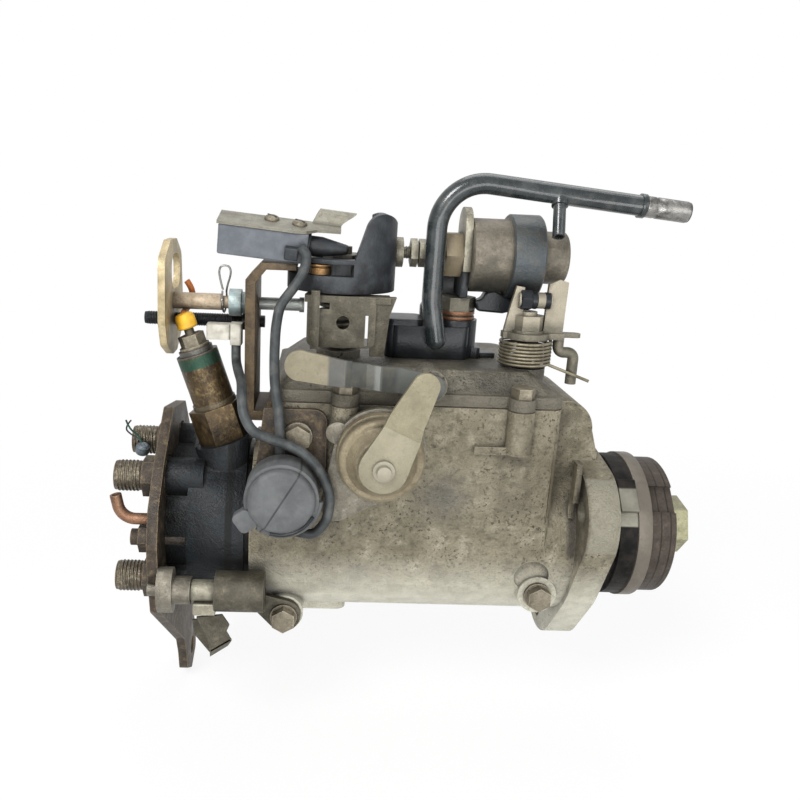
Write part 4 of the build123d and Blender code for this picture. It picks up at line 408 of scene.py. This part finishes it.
FINISH = {
    casting: ["pump_housing"],
    cover_casting: ["governor_cover"],
    head_steel: ["hydraulic_head", "threaded_stud"],
    rust_steel: ["rear_bracket", "bracket_bolts", "delivery_unions", "connector_bracket"],
    bracket_steel: ["switch_bracket", "switch_plate"],
    hub_steel: ["drive_hub"],
    bare_steel: ["stay_bolt", "solenoid_plunger", "drive_shaft", "distributor_rotor", "pumping_plunger_1",
                 "pumping_plunger_2", "cam_ring", "governor_cage", "governor_weight_1", "governor_weight_2",
                 "thrust_sleeve", "governor_arm", "metering_valve", "advance_piston", "throttle_shaft",
                 "throttle_spring", "advance_plate"],
    lever_steel: ["throttle_bracket", "stay_sleeve", "stay_clip"],
    idle_steel: ["idle_lever"],
    banjo_steel: ["banjo_bolt"],
    pale_zinc: ["stay_spacer", "damper_plunger", "dashpot_bracket"],
    lever_zinc: ["cold_start_lever"],
    yellow_zinc: ["hub_nut"],
    cable_zinc: ["cable_bracket"],
    screw_steel: ["housing_screws", "cover_bolts", "solenoid_terminal"],
    spring_steel: ["idle_spring"],
    solenoid_brass: ["stop_solenoid"],
    copper: ["leak_pipe"],
    stop_enamel: ["stop_lever"],
    ferrule_alloy: ["cable_ferrule"],
    dashpot_alloy: ["dashpot_body"],
    cap_alloy: ["advance_cap"],
    black_enamel: ["banjo_block"],
    pipe_enamel: ["return_pipe"],
    black_nylon: ["throttle_quadrant", "switch_button"],
    grey_abs: ["lead_connector"],
    switch_grey: ["switch_body"],
    white_nylon: ["terminal_block"],
    lead_rubber: ["switch_lead", "harness_lead", "shaft_seal"],
    gasket_fibre: ["cover_gasket"],
}
TOO_FINE_TO_EASE = {"switch_lead", "harness_lead", "throttle_spring", "idle_spring", "cover_gasket"}
WELD_REACH = 0.002


def ease(piece, width, angle=30, harden=True):
    """Rounds the edges of a piece that are sharper than angle in degrees; width is in millimetres."""
    eased = piece.modifiers.new("eased_edges", "BEVEL")
    eased.width = mm(width)
    eased.segments = 2
    eased.limit_method = "ANGLE"
    eased.angle_limit = math.radians(angle)
    eased.harden_normals = harden


for finish, names in FINISH.items():
    for name in names:
        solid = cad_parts[name]
        solid.data.materials.clear()
        solid.data.materials.append(finish)
        solid.data.polygons.foreach_set("use_smooth", [True] * len(solid.data.polygons))
        weld = solid.modifiers.new("weld", "WELD")
        weld.merge_threshold = mm(WELD_REACH)
        if name not in TOO_FINE_TO_EASE:
            ease(solid, 0.3, 32)


# ---------------------------------------------------------------- making small fittings
def fit(piece, finish, body):
    """Gives a piece its finish and its body."""
    piece.data.materials.append(finish)
    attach(piece, body)
    return piece


def skin(name, rings, finish, body, smooth=True):
    """A closed surface through rings of points in millimetres, all with the same number of points."""
    count = len(rings[0])
    points = [mm(*point) for ring in rings for point in ring]
    faces = []
    for row in range(len(rings) - 1):
        for k in range(count):
            n = (k + 1) % count
            faces.append((row * count + k, row * count + n, (row + 1) * count + n, (row + 1) * count + k))
    faces.append(tuple(reversed(range(count))))
    faces.append(tuple((len(rings) - 1) * count + k for k in range(count)))
    shape = bpy.data.meshes.new(name)
    shape.from_pydata(points, [], faces)
    shape.validate()
    shape.polygons.foreach_set("use_smooth", [smooth] * len(shape.polygons))
    piece = bpy.data.objects.new(name, shape)
    bpy.context.scene.collection.objects.link(piece)
    return fit(piece, finish, body)


def across(along):
    """A direction as a unit, and two directions square to it and to each other."""
    along = Vector(along).normalized()
    side = along.orthogonal().normalized()
    return along, side, along.cross(side)


def turned(name, foot, along, profile, finish, body, sides=40):
    """A turned piece: profile is (distance along the axis, radius) from its foot; 6 sides make a hexagon."""
    along, side, other = across(along)
    rings = [[Vector(foot) + along * step + (side * math.cos(turn) + other * math.sin(turn)) * radius
              for turn in (2 * math.pi * k / sides for k in range(sides))] for step, radius in profile]
    piece = skin(name, rings, finish, body)
    ease(piece, 0.2, 35)
    return piece


def threaded(name, foot, along, length, radius, pitch, finish, body, depth=0.5):
    """A screw thread over a plain rod of this radius: a V-shaped ridge that climbs one pitch a turn."""
    along, side, other = across(along)
    sides, steps_a_pitch, lift, rings = 36, 8, 0.03, []
    for row in range(int(steps_a_pitch * length / pitch) + 1):
        step = row * pitch / steps_a_pitch
        fade = min(1.0, step / pitch, (length - step) / pitch)
        ring = []
        for k in range(sides):
            turn = 2 * math.pi * k / sides
            ridge = abs(2 * ((step / pitch - k / sides) % 1.0) - 1.0)
            reach = radius + lift + depth * ridge * max(fade, 0)
            ring.append(Vector(foot) + along * step + (side * math.cos(turn) + other * math.sin(turn)) * reach)
        rings.append(ring)
    return skin(name, rings, finish, body)


def bent(name, points, radius, finish, body):
    """A round wire through control points in millimetres."""
    path = bpy.data.curves.new(name, "CURVE")
    path.dimensions = "3D"
    path.bevel_depth = mm(radius)
    path.bevel_resolution = 4
    path.use_fill_caps = True
    run = path.splines.new("NURBS")
    run.points.add(len(points) - 1)
    for k, point in enumerate(points):
        run.points[k].co = (*mm(*point), 1)
    run.order_u = 3
    run.use_endpoint_u = True
    run.resolution_u = 10
    piece = bpy.data.objects.new(name, path)
    bpy.context.scene.collection.objects.link(piece)
    return fit(piece, finish, body)


def pressed(name, outline, thick, foot, along, side, finish, body, rounding=0.3):
    """A flat piece: its outline lies in the plane of side and of along x side, and thick runs along."""
    along = Vector(along).normalized()
    side = Vector(side).normalized()
    other = along.cross(side)
    rings = [[Vector(foot) + side * u + other * v + along * lift for u, v in outline] for lift in (0, thick)]
    piece = skin(name, rings, finish, body, smooth=False)
    ease(piece, rounding, harden=False)
    return piece


def block(half_width, half_height):
    """The outline of a rectangle about its middle, for pressed()."""
    return [(-half_width, -half_height), (half_width, -half_height),
            (half_width, half_height), (-half_width, half_height)]


def arc(middle, radius, turns):
    """Points on a circle that faces the front, at these angles in degrees."""
    x, y, z = middle
    return [(x + radius * math.cos(math.radians(turn)), y, z + radius * math.sin(math.radians(turn)))
            for turn in turns]


# ---------------------------------------------------------------- threads
UNION_CIRCLE, UNION_ANGLES = 31, (131, 221, 311, 65)
for number, turn in enumerate(UNION_ANGLES, 1):
    middle = (-190.0, UNION_CIRCLE * math.cos(math.radians(turn)), UNION_CIRCLE * math.sin(math.radians(turn)))
    threaded(f"union_thread_{number}", middle, REARWARD, 10.3, 6.0, 1.5, rust_bright, "casing")
threaded("stud_thread_rear", (-191.6, 2, 85.6), X, 11.5, 2.5, 1.0, head_steel, "casing", 0.3)
threaded("stud_thread_middle", (-178.0, 2, 85.6), X, 29, 2.5, 1.0, head_steel, "casing", 0.3)
threaded("damper_thread", (-85.9, -3, 117), X, 10.2, 2.2, 1.0, pale_zinc, "damper", 0.35)

# ---------------------------------------------------------------- stop solenoid lead
turned("solenoid_lead_sleeve", (-172.26, -10, 83.76), CAN,
       [(0, 3.6), (0.6, 4.1), (4.6, 4.1), (6.0, 3.4), (6.4, 2.0)], yellow_sleeve, "casing")
bent("solenoid_lead_wire",
     [(-174.1, -10, 89), (-174.6, -7, 89.2), (-175.6, 1, 88.6), (-173.6, 6, 92), (-172.6, 7, 97),
      (-175.4, 6.6, 101)], 1.3, orange_wire, "casing")

# ---------------------------------------------------------------- cable ferrule's spring clip
CLIP_RING = 4.4                                  # radius of the wire's turn round the ferrule
ring = [(-158.2 + 0.2 * k, -2 + CLIP_RING * math.cos(k * math.pi / 4), 93.8 + CLIP_RING * math.sin(k * math.pi / 4))
        for k in range(-6, 3)]
bent("ferrule_clip",
     ring + [(-157.2, -3.2, 101), (-155.6, -4, 106), (-156.2, -4.2, 108.6), (-158.2, -4.6, 109.2),
             (-160.2, -4.6, 108.4), (-160.6, -4.2, 105), (-159.0, -3.6, 99)],
     0.42, bright_plate, "casing")

# ---------------------------------------------------------------- tamper seal on the rear union
turned("tamper_seal", (-195.4, 4, 24.4), (0.2, -0.3, 0.93), [(0, 1.6), (0.8, 2.9), (4.2, 3.0), (5.2, 1.9)],
       seal_lead, "casing", 18)
bent("seal_wire_green", [(-195, 4, 29), (-196.5, 4, 33), (-200, 2, 36), (-201.2, 1, 40.5)],
     0.42, green_wire, "casing")
bent("seal_wire_black", [(-194.6, 4, 29), (-197.4, 5, 31.5), (-199.8, 4, 33), (-202.6, 3, 36.4), (-199.6, 3.6, 39.8)],
     0.36, lead_rubber, "casing")

# ---------------------------------------------------------------- throttle: cable nipple in the groove
turned("cable_nipple", (-119.5, -24.4, 109.1), Z,
       [(0, 3.9), (2.6, 3.9), (2.7, 3.4), (3.2, 3.4), (3.3, 4.6), (4.0, 4.6)], nipple_brass, "throttle")

# ---------------------------------------------------------------- dashpot's rubber nib and the idle ball stud
nib_outline = [(-9, 0.5), (-7.5, 4.6), (3, 5.2), (9, 3.6), (8.4, -1), (3, -2.2), (-1, -4.4), (-4.5, -3.6), (-6, -0.6)]
pressed("dashpot_nib", nib_outline, 6.5, (-46.5, -6.2, 99.0), Y, X, black_enamel, "casing", 0.9)
turned("idle_ball_nut", (-40.4, -19.2, 101.5), X, [(0, 3.4), (0.5, 4.2), (4.4, 4.2), (4.8, 3.6)],
       black_enamel, "idle", 6)
turned("idle_ball_stud", (-35.8, -19.2, 101.5), X,
       [(0, 3.3), (2, 3.5), (3.2, 2.2), (4.6, 2.2), (5.2, 3.3), (7.4, 3.4)], black_enamel, "idle")

# ---------------------------------------------------------------- folded clip under the stay and its square nut
SHEET = 1.2                                      # the clip's thickness
front_wall = [(-164.3, -25.7), (-159.8, -35.5), (-158.7, -41.7), (-150.1, -35.9), (-152.2, -31.9),
              (-151.0, -29.0), (-153.9, -24.4)]
back_wall = [(-167.2, -32.0), (-166.4, -38.7), (-160.2, -46.9), (-154.2, -42.3), (-155.5, -30.3)]
clip = pressed("stay_clip_front", front_wall, SHEET, (0, -46, 0), FRONTWARD, X, lever_steel, "casing",
               0.35)
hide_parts("stay_clip")
pressed("stay_clip_back", back_wall, SHEET, (0, -37.5, 0), FRONTWARD, X, lever_steel, "casing", 0.35)
fold_rings = []
for share in (0, 0.5, 1):
    near = Vector((-158.7, -47.2, -41.7)).lerp(Vector((-150.1, -47.2, -35.9)), share)
    far = Vector((-160.2, -37.5, -46.9)).lerp(Vector((-154.2, -37.5, -42.3)), share)
    low = near.lerp(far, 0.5) - Vector((0, 0, 2.2))
    rise = Vector((0, 0, SHEET))
    fold_rings.append([near, low, far, far + rise, low + rise, near + rise])
skin("stay_clip_fold", fold_rings, lever_steel, "casing", smooth=False)
pressed("stay_square_nut", [(-165.3, -23.6), (-156.4, -23.4), (-156.4, -18.4), (-165.3, -18.4)], 7, (0, -43, 0),
        FRONTWARD, X, pale_zinc, "casing", 0.6)

# ---------------------------------------------------------------- return pipe's plated tip
tip_way = Vector((78.3, 0, -7.6)).normalized()
turned("return_pipe_tip", Vector((4, -15, 139.4)) + tip_way * 2.2, tip_way,
       [(0, 4.12), (3.4, 4.12), (3.7, 3.97), (4.4, 3.97), (4.7, 4.12), (16.6, 4.12), (17.5, 3.7), (17.56, 3.0)],
       bright_plate, "casing")

# ---------------------------------------------------------------- microswitch: rolled towards the levers
SWITCH_MIDDLE = (-143.5, -20, 121.2)
TILT, ROLLED = math.radians(5), math.radians(14)
slope = Vector((math.cos(TILT), 0, -math.sin(TILT)))
flat_over, flat_front = Vector((math.sin(TILT), 0, math.cos(TILT))), Vector(FRONTWARD)
over = flat_over * math.cos(ROLLED) + flat_front * math.sin(ROLLED)
front = flat_front * math.cos(ROLLED) - flat_over * math.sin(ROLLED)


def on_switch(run, out, lift):
    """A place on the microswitch: run along its plunger, out to the front and lift above its middle."""
    return Vector(SWITCH_MIDDLE) + slope * run + front * out + over * lift


case = pressed("switch_case", block(6, 6), 34, on_switch(-15, 0, 0), slope, front, switch_grey, "casing",
               0.7)
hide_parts("switch_body")
turned("switch_nose_collar", on_switch(18.8, 0, 0), slope, [(0, 5.4), (0.8, 5.4), (1.2, 4.9), (1.25, 3.9)],
       black_nylon, "casing")
pressed("switch_lead_outlet", block(2.6, 2.4), 3.6, on_switch(13.2, 5.6, -1.6), front, slope, black_nylon, "casing",
        0.5)
PLATE_UNDER, PLATE_OVER = 6.05, 7.2
plate_rings = [[on_switch(run, low, PLATE_UNDER), on_switch(run, high, PLATE_UNDER),
                on_switch(run, high, PLATE_OVER), on_switch(run, low, PLATE_OVER)]
               for run, low, high in ((-15.6, -7.4, 6.6), (14, -7.4, 6.8), (18, -7.4, 6.0), (22, -7.2, 2.5),
                                      (26, -6.6, 1.5), (31, -5.8, 0.6))]
plate = skin("switch_top_plate", plate_rings, switch_tin, "casing", smooth=False)
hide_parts("switch_plate")
tab_rings = []
for rise, back, left, end in ((0, 0, 19.5, 30.5), (1.6, 0.3, 20.2, 31.5), (3.2, 1.1, 20.9, 33.5),
                              (4.4, 2.4, 21.6, 35.5), (5.0, 4.0, 22.2, 36.5)):
    under = 6.6 + rise
    tab_rings.append([on_switch(left, -5.6 - back, under), on_switch(end, -5.2 - back, under),
                      on_switch(end, -6.3 - back, under + 0.2), on_switch(left, -6.7 - back, under + 0.2)])
skin("switch_plate_tab", tab_rings, switch_tin, "casing", smooth=False)
for number, (run, out) in enumerate(((4.2, -3.4), (15.0, -1.2)), 1):
    turned(f"switch_screw_{number}", on_switch(run, out, 7.1), over,
           [(0, 2.9), (0.5, 2.9), (1.2, 2.5), (1.6, 1.7), (1.75, 0.6)], screw_steel, "casing", 28)
    # a black strip on each screw head is painted shade standing for its slot
    pressed(f"switch_screw_slot_shade_{number}", block(2.2, 0.3), 0.4, on_switch(run, out, 8.55), over,
            slope + front * 0.7, black_enamel, "casing", 0.1)

# ---------------------------------------------------------------- connector: a black arc as painted shade in the gap under its lid, and its rim
bent("connector_lid_gap_shade", arc((-130.9, -64.0, 31.0), 12.7, range(-108, -10, 14)), 0.75, black_enamel, "casing")
bent("connector_rim", arc((-130.9, -60.5, 31.0), 14.2, range(-128, 12, 14)), 1.1, grey_abs, "casing")


# ---------------------------------------------------------------- floor, light and background
def seen_directly(tree):
    """A mask that is 1 for rays from the camera, by mirror reflection or through glass."""
    rays = add(tree, "ShaderNodeLightPath")
    seen = add(tree, "ShaderNodeMath", {0: rays.outputs["Is Camera Ray"], 1: rays.outputs["Is Glossy Ray"]},
               operation="MAXIMUM")
    return add(tree, "ShaderNodeMath", {0: seen.outputs[0], 1: rays.outputs["Is Transmission Ray"]},
               operation="MAXIMUM").outputs[0]


FLOOR_SIZE = 6                                   # metres
PALE_FROM, PALE_TO = 0.18, 0.55                  # metres from the middle over which the floor fades to white
floor_height = cad_box[0][2] - mm(0.5)
bpy.ops.mesh.primitive_plane_add(size=FLOOR_SIZE, location=(0, 0, floor_height))
floor = bpy.context.object
floor.name = "floor"
# White paper: keeps the contact shadow near the pump and fades into the backdrop further out
floor_paper, tree, shader, place = start_material("white_paper_floor")
shader.inputs["Base Color"].default_value = linear("#f2f2f0")
shader.inputs["Roughness"].default_value = 0.9
reach = add(tree, "ShaderNodeVectorMath", {0: place}, operation="LENGTH").outputs["Value"]
pale = add(tree, "ShaderNodeMapRange", {0: reach, 1: PALE_FROM, 2: PALE_TO, 3: 0.84, 4: 1.0},
           interpolation_type="SMOOTHSTEP")
share = add(tree, "ShaderNodeMath", {0: seen_directly(tree), 1: pale.outputs[0]}, operation="MULTIPLY")
glow = add(tree, "ShaderNodeEmission", {"Color": (1, 1, 1, 1), "Strength": 1.0})
sheet = add(tree, "ShaderNodeMixShader", {0: share.outputs[0], 1: shader.outputs[0], 2: glow.outputs[0]})
tree.links.new(sheet.outputs[0], tree.nodes["Material Output"].inputs["Surface"])
floor.data.materials.append(floor_paper)

world = bpy.data.worlds.new("studio")
bpy.context.scene.world = world
world.use_nodes = True
sky = world.node_tree
sky.nodes.clear()
soft = add(sky, "ShaderNodeBackground", {"Color": linear("#e9edf2"), "Strength": 0.5})
white = add(sky, "ShaderNodeBackground", {"Color": (1, 1, 1, 1), "Strength": 1.0})
dome = add(sky, "ShaderNodeMixShader", {0: seen_directly(sky), 1: soft.outputs[0], 2: white.outputs[0]})
add(sky, "ShaderNodeOutputWorld", {"Surface": dome.outputs[0]})


def lamp(name, place, aim, size, watts):
    """A square soft box that points from place at aim; size is in millimetres."""
    light = bpy.data.lights.new(name, "AREA")
    light.size = mm(size)
    light.energy = watts
    holder = bpy.data.objects.new(name, light)
    holder.location = mm(*place)
    holder.rotation_euler = (mm(*aim) - mm(*place)).to_track_quat("-Z", "Y").to_euler()
    bpy.context.scene.collection.objects.link(holder)


lamp("key_light", (-450, -650, 640), (-90, 0, 30), 300, 7.5)
lamp("fill_light", (600, -800, 300), (-60, 0, 30), 700, 3.5)
lamp("top_light", (0, 250, 900), (-90, 0, 30), 600, 3)
lamp("bounce_light", (-60, -620, -30), (-70, 0, 0), 400, 2.8)
bpy.context.scene.view_settings.view_transform = "Standard"
